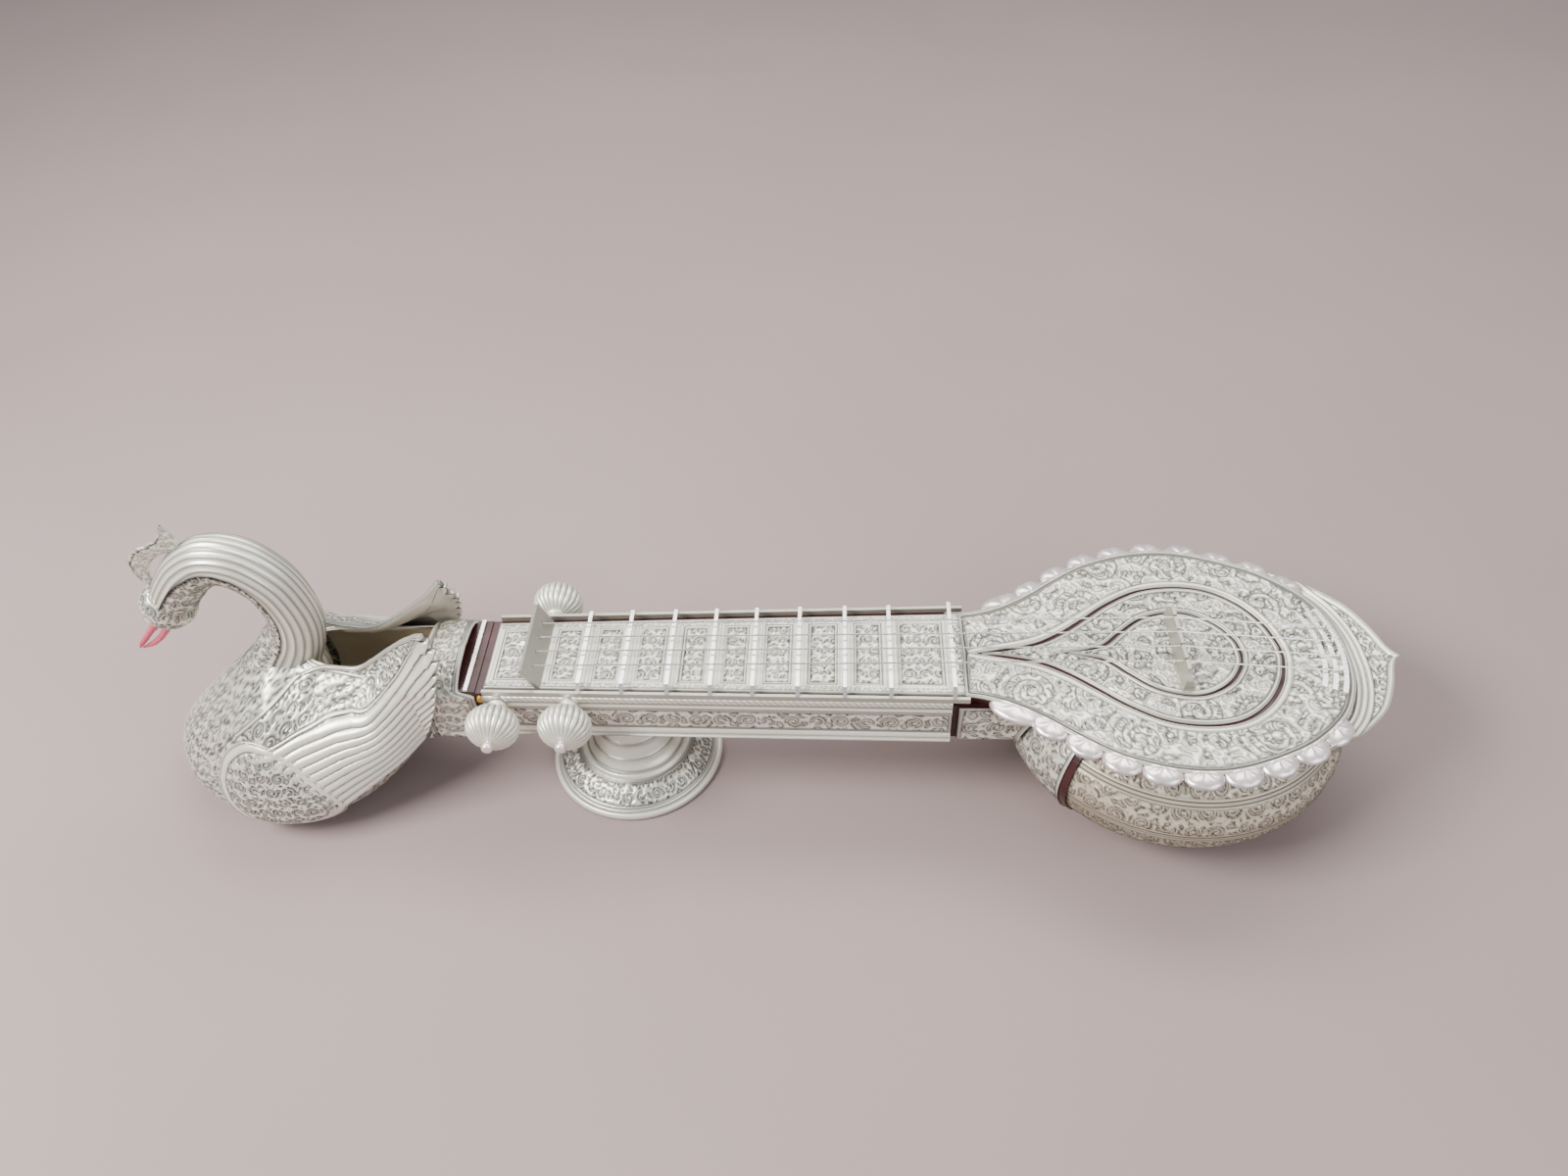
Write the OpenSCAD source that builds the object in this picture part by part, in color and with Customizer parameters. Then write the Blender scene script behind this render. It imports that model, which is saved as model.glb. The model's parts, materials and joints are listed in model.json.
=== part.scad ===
// Ornamental chased-silver sitar with a swan head, lying on its bowl and its upper gourd.
// Origin: centre of the bowl on the resting plane. +X to the tail, +Z up, -Y the near side.

/* [Resolution] */
// facets of round pieces
fine = 64; // [32:8:128]

/* [Neck] */
// height of the fretboard face above the rest plane
face_z = 77; // [60:1:100]
// half width of the fretboard at its swan end
neck_w0 = 20.5; // [15:0.5:30]
// half width of the fretboard at the last fret
neck_w1 = 25.3; // [15:0.5:35]
// underside of the wooden neck
neck_z = 49; // [40:1:60]
// thickness of the silver sheet
sheet = 1.4; // [0.8:0.1:2]
// width of the dark groove beside the fretboard
groove_w = 2.6; // [1:0.1:4]
// width of the side rails
rail_w = 1.6; // [1:0.1:3]
// top of the side rails
rail_z = 78.5; // [78:0.5:82]

/* [Frets and strings] */
// height of the fret tops
fret_z = 83; // [81:0.5:85]
// length of a fret along the neck
fret_t = 1.8; // [1:0.1:3]
// wire radius of a string
wire_r = 0.4; // [0.2:0.05:0.5]
// string height at the nut
nut_str_z = 84.4; // [83:0.1:90]
// string height at the bridge
bridge_str_z = 86.6; // [84:0.1:92]
// spacing of the strings
str_gap = 9; // [6:0.5:12]

/* [Pegs] */
// height of the peg axes
peg_z = 71; // [66:0.5:72]
// peg shaft radius
peg_r = 2.6; // [2:0.1:3.5]
// fluted knob radius
knob_r = 12.6; // [8:0.2:16]
// fluted knob half length
knob_l = 9.5; // [6:0.5:14]
// distance of the knob centre from the centre line
knob_y = 39.5; // [34:0.5:46]

/* [Bowl and foot] */
// wall of the bowl
bowl_t = 2; // [1.5:0.1:4]
// rim radius of the upper gourd
foot_r = 44; // [35:1:55]
// place of the upper gourd along the neck
foot_x = -267; // [-290:1:-230]

/* [Swan] */
// wall of the swan's body
swan_t = 2; // [1.5:0.1:4]
// thickness of the swan's neck against its drawn size
neck_fat = 1; // [0.8:0.02:1]

/* [Hidden] */
neck_left = -329;
last_fret_x = -108.1;
rail_end = -101;
gap = 0.05;
slit = 3;
core_top = face_z - sheet;
slope = (neck_w1 - neck_w0) / (last_fret_x - neck_left);
fret_xs = [-282.7, -262.3, -241, -220.8, -201.1, -180.1, -158.3, -137.1, -108.1];
str_ys = [1.5 * str_gap, 0.5 * str_gap, -0.5 * str_gap, -1.5 * str_gap];
nut_x = -303;
bridge_x = -2;
eye_x = -314;
eye_r = 1.3;
tail_r = 63.85;
tail_cx = 6;
tail_str_z = 79.7;
peg_xs = [-322, -288, -304];
peg_sides = [-1, -1, 1];
peg_strings = [2, 3, 0];
coil_r = peg_r + 0.8;
core_wall = 3.6;
screw_z = 72;
cavity_z = neck_z + 4;
board_z = 72;
cup_half = 42;
cup_z = 12;
silver = [0.80, 0.80, 0.76];
bright = [0.88, 0.87, 0.85];
maroon = [0.25, 0.09, 0.10];
steel = [0.78, 0.78, 0.78];
blush = [0.88, 0.78, 0.77];
pink = [0.80, 0.28, 0.36];
brass = [0.72, 0.52, 0.16];
tan_c = [0.62, 0.58, 0.47];

// half width of the fretboard at a place along the neck
function hw(x) = neck_w0 + (x - neck_left) * slope;
cavity_w0 = hw(-327) + groove_w - core_wall - 1;
collar_w = hw(-333) + groove_w + 0.1;
// entry of a list, held at its ends
function pick(p, i) = p[max(0, min(len(p) - 1, i))];
function blend(a, b, c, d, t) = 0.5 * ((2 * b) + (c - a) * t
  + (2 * a - 5 * b + 4 * c - d) * t * t + (3 * b - a - 3 * c + d) * t * t * t);
// smooth line through points, n steps between neighbours
function curve(p, n) = [for (i = [0:len(p) - 2]) for (k = [0:n - 1])
  blend(pick(p, i - 1), pick(p, i), pick(p, i + 1), pick(p, i + 2), k / n), p[len(p) - 1]];
// outline closed by its mirror image across the centre line
function mirrored(s) = concat(s, [for (i = [len(s) - 1:-1:0]) if (s[i][1] > 0.01) [s[i][0], -s[i][1]]]);
// outline as wide as the fretboard and d more on each side
function strip(x0, x1, d) = [[x0, hw(x0) + d], [x1, hw(x1) + d], [x1, -hw(x1) - d], [x0, -hw(x0) - d]];
// outline beside the fretboard, from d0 to d1 off its edge
function side_strip(x0, x1, d0, d1) =
  [[x0, hw(x0) + d0], [x1, hw(x1) + d0], [x1, hw(x1) + d1], [x0, hw(x0) + d1]];

board_half = [[-102.8, 25.6], [-95, 27], [-85, 30.4], [-76, 35], [-66, 41.5], [-56, 49], [-40, 59.5],
  [-26, 65], [-12, 68.3], [3, 69], [15, 67], [27, 63], [40, 57.3], [50, 51.5], [60, 43], [68, 33.5],
  [73.5, 21], [76, 9], [76.4, 0]];
drop_a = [[-99, 0], [-85, 3], [-68, 7], [-55, 14], [-43, 23], [-30, 33], [-14, 41.5], [4, 44], [20, 41],
  [33, 32], [42, 19], [46, 6], [46.6, 0]];
drop_b = [[-58, 0], [-38, 5], [-27, 14], [-16, 22.5], [-3, 26.5], [8, 25.5], [19, 19], [26, 9], [28, 0]];
leaf_half = [[30, 60], [50, 55], [62, 49], [70, 45.5], [79, 38], [86, 30], [92, 17.5], [95.5, 7], [98, 2],
  [100.5, 0]];
// bowl profile as [radius, height], with its mouth at the last point
bowl_line = [[30, 0], [44, 3.5], [57, 10], [68, 19], [76, 30], [79.5, 41], [78.5, 51], [74, 61], [67, 68.5],
  [64, 71.9]];
bowl_pts = curve(bowl_line, 4);
mouth_r = bowl_line[9][0];
mouth_z = bowl_line[9][1];
board_pts = mirrored(curve(board_half, 5));
drop_a_pts = mirrored(curve(drop_a, 5));
drop_b_pts = mirrored(curve(drop_b, 5));
// outline shrunk by a scale along the neck and an inset across it
function shrunk(p, k, d) = curve([for (i = [1:len(p) - 2]) [p[i][0] * k, max(0.4, p[i][1] - d)]], 5);
drop_a_in = mirrored(concat([[-96, 0]], shrunk(drop_a, 0.985, 1.3), [[45.3, 0]]));
drop_b_in = mirrored(concat([[-55, 0]], shrunk(drop_b, 0.98, 1.1), [[26.9, 0]]));

module plate(points, z0, z1) {
  translate([0, 0, z0]) linear_extrude(z1 - z0) polygon(points);
}
// solid of the bowl's outside grown by d, used to fit the neck against it
module bowl_solid(d) {
  rotate_extrude($fn = fine) polygon(concat([[0, 0]], [for (p = bowl_pts) [p[0] + d, p[1]]],
    [[mouth_r + d, 90], [0, 90]]));
}
module across(x, z, r, y0, y1) {
  translate([x, y0, z]) rotate([-90, 0, 0]) cylinder(h = y1 - y0, r = r, $fn = fine);
}

// hollow lacquered wooden neck that shows in the grooves
module neck_core() color(maroon) difference() {
  plate(strip(-333, -66, groove_w), neck_z, core_top);
  plate([[-327, cavity_w0], [-88, 22], [-88, -22], [-327, -cavity_w0]], cavity_z, core_top + 1);
  bowl_solid(1.3);
  translate([-110, -50, board_z - gap]) cube([80, 100, 20]);
  for (i = [0:2])
    across(peg_xs[i], peg_z, peg_r + 0.06, peg_sides[i] < 0 ? -40 : -20.5, peg_sides[i] < 0 ? 20.5 : 40);
  translate([foot_x, 0, neck_z - 1]) cylinder(h = 8, r = stud_r + 0.05, $fn = fine);
  for (s = [-1, 1]) across(-331, screw_z, 1.05, s < 0 ? -30 : 16, s < 0 ? -16 : 30);
}
module fretboard_plate() color(silver) difference() {
  plate(strip(neck_left, -103, 0), core_top, face_z);
  plate(strip(-326, -310, -3.4), face_z - 0.4, face_z + 1);
  for (i = [0, 2, 3]) translate([eye_x, str_ys[i], core_top - 1]) cylinder(h = 4, r = eye_r, $fn = 24);
}
module side_panel() {
  difference() {
    union() {
      plate(side_strip(-329, -109, groove_w + gap, groove_w + gap + 1.2), neck_z - 1.2, core_top);
      plate(side_strip(-329, -109, groove_w + 0.6, groove_w + gap + 2), 68.5, 75);
      plate(side_strip(-329, -109, groove_w + 0.6, groove_w + gap + 1.8), neck_z + 0.6, neck_z + 2.6);
    }
    for (x = peg_xs) across(x, peg_z, 4.55, 10, 40);
  }
}
module near_side_panel() color(silver) mirror([0, 1, 0]) side_panel();
module far_side_panel() color(silver) side_panel();
module underside_plate() color(silver) difference() {
  plate(strip(-329, -109, groove_w), neck_z - 1.2, neck_z - gap);
  translate([foot_x, 0, 40]) cylinder(h = 20, r = 3.3, $fn = fine);
}
module rail() {
  plate(side_strip(-329, rail_end, groove_w, groove_w + rail_w), core_top + gap, rail_z);
}
module side_rails() color(bright) {
  rail();
  mirror([0, 1, 0]) rail();
}
module heel_sleeve() color(silver) difference() {
  plate(strip(-109 + slit, -60, groove_w + 1.3), neck_z - 1.2, board_z - gap);
  plate(strip(-120, -50, groove_w + gap), neck_z - gap, 80);
  bowl_solid(3.4);
}
// chased silver bowl, hollow
module bowl_shell() color(silver) difference() {
  rotate_extrude($fn = fine) polygon(concat([[0, 0]], bowl_pts, [[0, mouth_z]]));
  rotate_extrude($fn = fine) polygon(concat([[0, bowl_t]],
    [for (p = bowl_pts) if (p[1] > bowl_t + 0.5) [p[0] - bowl_t, p[1]]],
    [[mouth_r - bowl_t, 80], [0, 80]]));
}
// layer of thickness d on the bowl between two angles, above height z0
module bowl_layer(a0, a1, d, z0) {
  rotate([0, 0, a0]) rotate_extrude(angle = a1 - a0, $fn = fine)
    polygon(concat([for (p = bowl_pts) if (p[1] > z0) [p[0] + gap, p[1]]],
      [for (i = [len(bowl_pts) - 1:-1:0]) let (p = bowl_pts[i]) if (p[1] > z0) [p[0] + d, p[1]]]));
}
module heel_cup() color(silver) bowl_layer(180 - cup_half, 180 + cup_half, 1.25, cup_z);
module cup_strips() color(maroon) {
  bowl_layer(180 - cup_half - 2.6, 180 - cup_half - 0.1, 1.5, cup_z);
  bowl_layer(180 + cup_half + 0.1, 180 + cup_half + 2.6, 1.5, cup_z);
}
// lacquered wooden board under the silver top plates
module soundboard_base() color(maroon) difference() {
  plate(board_pts, board_z, core_top - gap);
  translate([-20, 0, board_z - 1]) cylinder(h = 2.2, r = 30, $fn = fine);
}
module soundboard_outer() color(silver) difference() {
  plate(board_pts, core_top, face_z);
  plate(drop_a_pts, core_top - 1, face_z + 1);
}
module soundboard_middle() color(silver) difference() {
  plate(drop_a_in, core_top, face_z);
  plate(drop_b_pts, core_top - 1, face_z + 1);
}
module soundboard_centre() color(silver) plate(drop_b_in, core_top, face_z);

petal_path = curve(board_half, 5);
petal_r = 9.2;
petal_gap = 17.2;
petal_start = 23.6;
// length of a line up to its point i
function arc(p, i) = i == 0 ? 0 : arc(p, i - 1) + norm(p[i] - p[i - 1]);
// point of a line at a distance d from its start
function along(p, d, i = 1) = let (a = arc(p, i - 1), b = arc(p, i))
  (i >= len(p) - 1 || b >= d) ? p[i - 1] + (d - a) / (b - a) * (p[i] - p[i - 1]) : along(p, d, i + 1);
petal_at = [for (k = [0:9]) along(petal_path, petal_start + petal_gap * k)];
board_cut = [for (p = board_pts) 1.001 * p];
module petals() {
  difference() {
    for (p = petal_at) translate([p[0], p[1] - 1.8, board_z + 1.4]) cylinder(h = 3.2, r = petal_r, $fn = fine);
    plate(board_cut, 60, 90);
    translate([-110, -100, 60]) cube([200, 110, 30]);
    plate(leaf_pts, 60, 90);
    bowl_solid(0.1);
    translate([-140, -60, 40]) cube([51, 120, 60]);
  }
}
module near_petals() color(blush) mirror([0, 1, 0]) petals();
module far_petals() color(blush) petals();
leaf_pts = mirrored(curve(leaf_half, 5));
module tail_leaf() color(silver) difference() {
  plate(leaf_pts, board_z - 1, board_z + 2.4);
  plate([for (p = leaf_pts) [45 + (p[0] - 45) * 0.93, p[1] * 0.93]], board_z + 1.4, board_z + 4);
  plate(board_cut, 60, 90);
  bowl_solid(0.1);
}
module tailpiece() color(bright) {
  for (r = [56, 60.5, 65]) translate([tail_cx, 0, face_z]) rotate([0, 0, -23])
    rotate_extrude(angle = 46, $fn = fine) translate([r, 0]) square([2.2, 2]);
}
module string_pins() color(steel) for (y = str_ys) translate([pin_x(y), y, face_z]) {
  cylinder(h = 3.2, r = 0.7, $fn = 24);
  translate([0, 0, 3.8]) cylinder(h = 0.8, r = 1.2, $fn = 24);
  translate([0, 0, 3.2]) cylinder(h = 0.6, r1 = 0.7, r2 = 1.2, $fn = 24);
}
module bridge() color(bright) difference() {
  translate([bridge_x, 0, face_z]) rotate([90, 0, 0]) translate([0, 0, -23.5]) linear_extrude(47)
    polygon([[-2.6, 0], [2.6, 0], [0.2, bridge_str_z - face_z + 1.6], [-1.4, bridge_str_z - face_z + 1.6]]);
  for (y = str_ys) translate([bridge_x - 6, y - wire_r - 0.15, bridge_str_z - wire_r - 0.15])
    cube([12, 2 * wire_r + 0.3, 4]);
  for (s = [-1, 1]) translate([bridge_x - 9, s * 27, face_z + 14]) rotate([0, 90, 0])
    cylinder(h = 18, r = 8, $fn = fine);
}
module nut() color(bright) difference() {
  translate([nut_x, 0, face_z]) rotate([0, -25, 0]) translate([-1, -21.3, -2]) cube([2, 42.6, 16]);
  translate([nut_x - 20, -30, face_z - 10]) cube([40, 60, 10]);
  for (y = str_ys) across_x(nut_x - 12, nut_x + 12, y, nut_str_z, wire_r + 0.3);
}
module across_x(x0, x1, y, z, r) {
  translate([x0, y, z]) rotate([0, 90, 0]) cylinder(h = x1 - x0, r = r, $fn = 24);
}
module fret(i) {
  x = fret_xs[i];
  z = i == 8 ? fret_z + 1.2 : fret_z;
  a = hw(x) + groove_w + rail_w;
  b = hw(x) + 1.4;
  color(bright) translate([x + fret_t / 2, 0, 0]) rotate([0, -90, 0]) linear_extrude(fret_t) polygon([
    [rail_z + 0.03, -a], [z, -b], [z, b], [rail_z + 0.03, a], [rail_z + 0.03, a - 1.6], [z - 1.8, b - 0.8],
    [z - 1.8, 0.8 - b], [rail_z + 0.03, 1.6 - a]]);
}
module fret_1() fret(0);
module fret_2() fret(1);
module fret_3() fret(2);
module fret_4() fret(3);
module fret_5() fret(4);
module fret_6() fret(5);
module fret_7() fret(6);
module fret_8() fret(7);
module fret_9() fret(8);

nut_hole_x = nut_x - (nut_str_z - face_z) * tan(25) - 2.2;
// place of the pin a string is hooked on at the tail
function pin_x(y) = tail_cx + sqrt(tail_r * tail_r - y * y);
// points a string runs through: tail pin, bridge, nut, then the hitch pin or the eyelet and its peg
function run(i) = let (y = str_ys[i]) concat(
  [[pin_x(y) - 0.8, y, tail_str_z], [bridge_x - 0.6, y, bridge_str_z], [nut_hole_x, y, nut_str_z]],
  i == 1 ? [[eye_x + 1.2, y, face_z + 1.2]] : [[eye_x, y, face_z], [eye_x, y, core_top - 0.6],
    [peg_xs[search(i, peg_strings)[0]] + 0.4, y, peg_z + coil_r + wire_r + 0.06]]);
// closed tube through rings
module tube(rings) {
  n = len(rings);
  m = len(rings[0]);
  polyhedron([for (s = rings) for (p = s) p], concat([[for (j = [0:m - 1]) m - 1 - j]],
    [for (i = [0:n - 2]) for (j = [0:m - 1]) for (f = [[i * m + j, i * m + (j + 1) % m, (i + 1) * m + j],
      [i * m + (j + 1) % m, (i + 1) * m + (j + 1) % m, (i + 1) * m + j]]) f],
    [[for (j = [0:m - 1]) (n - 1) * m + j]]));
}
function unit(v) = v / norm(v);
function before(p, i) = unit(i > 0 ? p[i] - p[i - 1] : p[1] - p[0]);
function after(p, i) = unit(i < len(p) - 1 ? p[i + 1] - p[i] : p[i] - p[i - 1]);
// ring of a wire lying in a plane of constant y, mitred at its bends
function wire_ring(p, i, r) = let (d = unit(before(p, i) + after(p, i)), m = r / (d * after(p, i)))
  [for (k = [0:11]) let (a = 30 * k) p[i] + [d[2] * m * cos(a), r * sin(a), -d[0] * m * cos(a)]];
module string(i) color(steel) {
  p = run(i);
  tube([for (k = [0:len(p) - 1]) wire_ring(p, k, wire_r)]);
}
module string_1() string(0);
module string_2() string(1);
module string_3() string(2);
module string_4() string(3);
module hitch_pin() color(steel) translate([eye_x - 0.2, str_ys[1], face_z]) {
  cylinder(h = 2.2, r = 0.8, $fn = 24);
  translate([0, 0, 2.2]) cylinder(h = 0.7, r = 1.5, $fn = 24);
}

module peg(i) {
  translate([peg_xs[i], 0, peg_z]) rotate([peg_sides[i] < 0 ? 90 : -90, 0, 0]) children();
}
module peg_shaft(i) color(bright) peg(i) {
  translate([0, 0, -19.8]) cylinder(h = 19.8 + knob_y - knob_l + 0.5, r = peg_r, $fn = fine);
  translate([0, 0, 27]) cylinder(h = 2.4, r = peg_r + 0.9, $fn = fine);
}
module peg_knob(i) color(bright) peg(i) difference() {
  union() {
    translate([0, 0, knob_y]) rotate_extrude($fn = fine)
      polygon([for (a = [-90:7.5:90]) [knob_r * cos(a), knob_l * sin(a)]]);
    translate([0, 0, knob_y + knob_l + 1]) sphere(r = 2.6, $fn = 32);
  }
  translate([0, 0, knob_y - 20]) cylinder(h = 10.52 + 20 - knob_l, r = peg_r + 0.01, $fn = fine);
  for (a = [0:15:345]) rotate([0, 0, a]) translate([knob_r + 0.35, 0, knob_y - 6])
    cylinder(h = 12, r = 0.8, $fn = 16);
}
module peg_winding(i) color(steel) peg(i) {
  y = -str_ys[peg_strings[i]] * (peg_sides[i] < 0 ? 1 : -1);
  for (k = [-3:3]) translate([0, 0, y + k * 0.62]) rotate_extrude($fn = fine)
    polygon([[peg_r + 0.01, -0.3], [coil_r, -0.18], [coil_r, 0.18], [peg_r + 0.01, 0.3]]);
}
module peg_1_shaft() peg_shaft(0);
module peg_1_knob() peg_knob(0);
module peg_1_winding() peg_winding(0);
module peg_2_shaft() peg_shaft(1);
module peg_2_knob() peg_knob(1);
module peg_2_winding() peg_winding(1);
module peg_3_shaft() peg_shaft(2);
module peg_3_knob() peg_knob(2);
module peg_3_winding() peg_winding(2);
module peg_ferrules() color(bright) for (i = [0:2]) peg(i) difference() {
  translate([0, 0, hw(peg_xs[i]) + groove_w + 0.1]) cylinder(h = 2.6, r = 4.4, $fn = fine);
  translate([0, 0, 10]) cylinder(h = 30, r = peg_r + 0.08, $fn = fine);
}

// rounded socket between the swan and the neck
module socket_collar() color(silver) difference() {
  intersection() {
    translate([-361, -24.2, 45]) cube([22.4, 48.4, 42]);
    translate([-370, 0, 45]) rotate([0, 90, 0]) cylinder(h = 60, r = 38, $fn = fine);
  }
  translate([-345, -collar_w, neck_z - 0.1]) cube([30, 2 * collar_w, 40]);
}
module collar_band() color(maroon)
  plate(strip(-345 + gap, -333 - gap, groove_w - 0.2), neck_z, core_top + 0.6);
module fillet_strip() color(bright)
  plate(strip(-338.4, -336.4, groove_w - 0.3), core_top + 0.65, face_z + 0.4);
module collar_screws() color(brass) for (s = [-1, 1])
  translate([-331, s * (hw(-331) + groove_w + 0.05), screw_z]) rotate([s * -90, 0, 0]) {
    translate([0, 0, -6]) cylinder(h = 6, r = 1, $fn = 24);
    cylinder(h = 1.4, r1 = 1.9, r2 = 1.5, $fn = 32);
  }

// swan's body: stations of [x, keel, half width, height of the widest line, top, half width of the opening]
body_rows = [[-503, 11, 6, 18, 26, 0], [-498, 4, 18, 18, 33, 0], [-486, -1, 33, 18, 45, 0],
  [-466, -4, 46, 20, 63, 0], [-446, -4, 52, 21, 80, 0], [-428, -4, 53, 22, 88, 0], [-411, -2, 50, 25, 84, 11],
  [-395, 6, 44, 31, 86, 14], [-380, 19, 36, 41, 88, 16], [-369, 32, 29, 51, 92, 18],
  [-362, 41, 25, 60, 96, 19]];
body_back = curve([for (k = [6:10]) body_rows[k]], 2);
body_st = concat(curve([for (i = [0:6]) body_rows[i]], 2), [for (i = [1:8]) body_back[i]]);
top_z = 84;
ring_n = 24;
// power that shapes the upper half of the body: rounder at the breast, straighter behind the neck
function fullness(x) = let (t = max(0, min(1, (x + 434) / 18))) 0.55 + 0.33 * t * t * (3 - 2 * t);
// outer (t = 0) or inner ring of a station
function ring(s, t) = [for (k = [-ring_n:ring_n])
  let (a = 90 - 180 * (1 - abs(k) / ring_n), side = k < 0 ? -1 : 1,
    half = s[2] - t,
    mouth = s[5] > 0 ? s[5] - t : 0,
    top = s[4] - (s[5] > 0 ? 0 : t),
    y = a < 0 ? half * pow(cos(a), 0.8) : mouth + (half - mouth) * pow(max(0, cos(a)), 2 * fullness(s[0])),
    z = a < 0 ? s[3] + (s[3] - s[1] - t) * sin(a) : s[3] + (top - s[3]) * sin(a))
  [s[0] + (s[0] < -502 ? t / 2 : 0), a > 89.9 && s[5] <= 0 ? 0 : side * y,
    max(t, s[0] < -411.5 ? min(z, top_z - t) : z)]];
module swan_body() color(silver) {
  n = len(body_st);
  m = 2 * ring_n + 1;
  outer = [for (s = body_st) ring(s, 0)];
  inner = [for (s = body_st) ring(s, swan_t)];
  pts = concat([for (s = outer) for (p = s) p], [for (s = inner) for (p = s) p]);
  q = n * m;
  faces = concat(
    [for (i = [0:n - 2]) for (j = [0:m - 2]) for (f = [[i * m + j, (i + 1) * m + j, i * m + j + 1],
      [i * m + j + 1, (i + 1) * m + j, (i + 1) * m + j + 1]]) f],
    [for (i = [0:n - 2]) for (j = [0:m - 2])
      for (f = [[q + i * m + j, q + i * m + j + 1, q + (i + 1) * m + j],
      [q + i * m + j + 1, q + (i + 1) * m + j + 1, q + (i + 1) * m + j]]) f],
    [for (j = [0:m - 2]) for (i = [0, n - 1]) for (f = i == 0 ? [[j, j + 1, q + j], [j + 1, q + j + 1, q + j]]
      : [[i * m + j, q + i * m + j, i * m + j + 1], [i * m + j + 1, q + i * m + j, q + i * m + j + 1]]) f],
    [for (i = [0:n - 2]) if (body_st[i + 1][5] > 0) for (f = [
      [i * m, q + i * m, (i + 1) * m], [(i + 1) * m, q + i * m, q + (i + 1) * m],
      [i * m + m - 1, (i + 1) * m + m - 1, q + i * m + m - 1],
      [(i + 1) * m + m - 1, q + (i + 1) * m + m - 1, q + i * m + m - 1]]) f]);
  polyhedron(pts, faces);
}

// swan's neck: [x, z, radius in the plane of the curve, sideways radius]
neck_rows = [[-427, 84.1, 15.5, 14], [-420.5, 93, 13.4, 12.6], [-417.3, 104, 12.6, 11.8],
  [-417.6, 116, 12.4, 11.6], [-421.5, 129, 12.4, 11.6], [-431, 139.6, 12.4, 11.6], [-443, 142.6, 12, 11.4],
  [-454, 137, 11.6, 11.2], [-462.5, 128.5, 11.2, 11], [-469.5, 119.5, 10.8, 10.8]];
neck_st = curve(neck_rows, 3);
function neck_dir(i) = let (a = pick(neck_st, i - 1), b = pick(neck_st, i + 1),
    d = [b[0] - a[0], b[1] - a[1]])
  i == 0 ? [0, 1] : d / norm(d);
function neck_ring(i) = let (s = neck_st[i], d = neck_dir(i)) [for (k = [0:27]) let (a = k * 360 / 28)
  [s[0] + d[1] * s[2] * neck_fat * cos(a), s[3] * neck_fat * sin(a), s[1] - d[0] * s[2] * neck_fat * cos(a)]];
module swan_neck() color(silver) tube([for (i = [0:len(neck_st) - 1]) neck_ring(i)]);
neck_end = neck_st[len(neck_st) - 1];
neck_end_dir = neck_dir(len(neck_st) - 1);
head_x = -475;
head_z = 113.6;
head_lean = 28;
head_size = [12.4, 12, 13.6];
module head_shape() translate([head_x, 0, head_z]) rotate([0, head_lean, 0]) scale(head_size)
  sphere(r = 1, $fn = 48);
module swan_head() color(silver) difference() {
  head_shape();
  translate([neck_end[0], 0, neck_end[1]]) rotate([0, atan2(-neck_end_dir[0], -neck_end_dir[1]), 0])
    translate([0, 0, -0.05]) cylinder(h = 20, r = 20, $fn = fine);
}
beak_line = [[-482, 106], [-487.4, 101.9], [-492.5, 96.2], [-497.5, 90], [-501.4, 85.4], [-501.2, 82.9],
  [-498.5, 82.6], [-494, 85.4], [-489.5, 89.6], [-486.2, 93.6], [-483.4, 98.6], [-478, 101]];
beak_gap = [[-499.6, 84.4], [-495.6, 88.6], [-490.6, 94.6], [-487.6, 98.2], [-488, 94.6], [-491.6, 90],
  [-495.4, 86.4]];
module swan_beak() color(pink) difference() {
  translate([0, 1.6, 0]) rotate([90, 0, 0]) linear_extrude(3.2) difference() {
    polygon(beak_line);
    polygon(beak_gap);
  }
  head_shape();
}
crest_line = [[-478.4, 127.4], [-481.5, 132.5], [-482.3, 138], [-480.5, 143.6], [-475.6, 148.9],
  [-468.6, 151.8], [-462.6, 155.4], [-459.2, 162.6], [-456, 160.6], [-454.2, 155.4], [-454.6, 151.8],
  [-458.6, 149.6], [-463, 147.4], [-469, 143.2], [-473.5, 139], [-475.8, 134.4], [-476.1, 130.6]];
module swan_crest() color(silver) translate([0, 1, 0]) rotate([90, 0, 0])
  linear_extrude(2) polygon(crest_line);
// wings: rows of [x, z] from the lower edge to the upper edge
wing_rows = [[[-452, 22], [-436, 12], [-403, 23], [-388, 32], [-374, 40], [-360, 52]],
  [[-460, 32], [-440, 24], [-410, 34], [-390, 45], [-371, 55], [-353, 68]],
  [[-462, 42], [-442, 38], [-418, 47], [-396, 57], [-373, 69], [-348.5, 83]],
  [[-458, 50], [-444, 54], [-428, 59], [-403, 70], [-375, 82], [-345.5, 97]],
  [[-448, 58], [-442, 64], [-430, 71], [-406, 81], [-376, 92], [-350, 110.5]]];
wing_cols = [for (r = wing_rows) curve(r, 3)];
wing_grid = [for (j = [0:len(wing_cols[0]) - 1]) curve([for (i = [0:4]) wing_cols[i][j]], 3)];
function body_at(x) = let (b = [for (i = [0:9]) if (x >= body_rows[i][0] && x < body_rows[i + 1][0]) i],
  i = len(b) > 0 ? b[0] : 9, t = (x - body_rows[i][0]) / (body_rows[i + 1][0] - body_rows[i][0]))
  blend(pick(body_rows, i - 1), body_rows[i], body_rows[i + 1], pick(body_rows, i + 2), min(t, 1.3));
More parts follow.
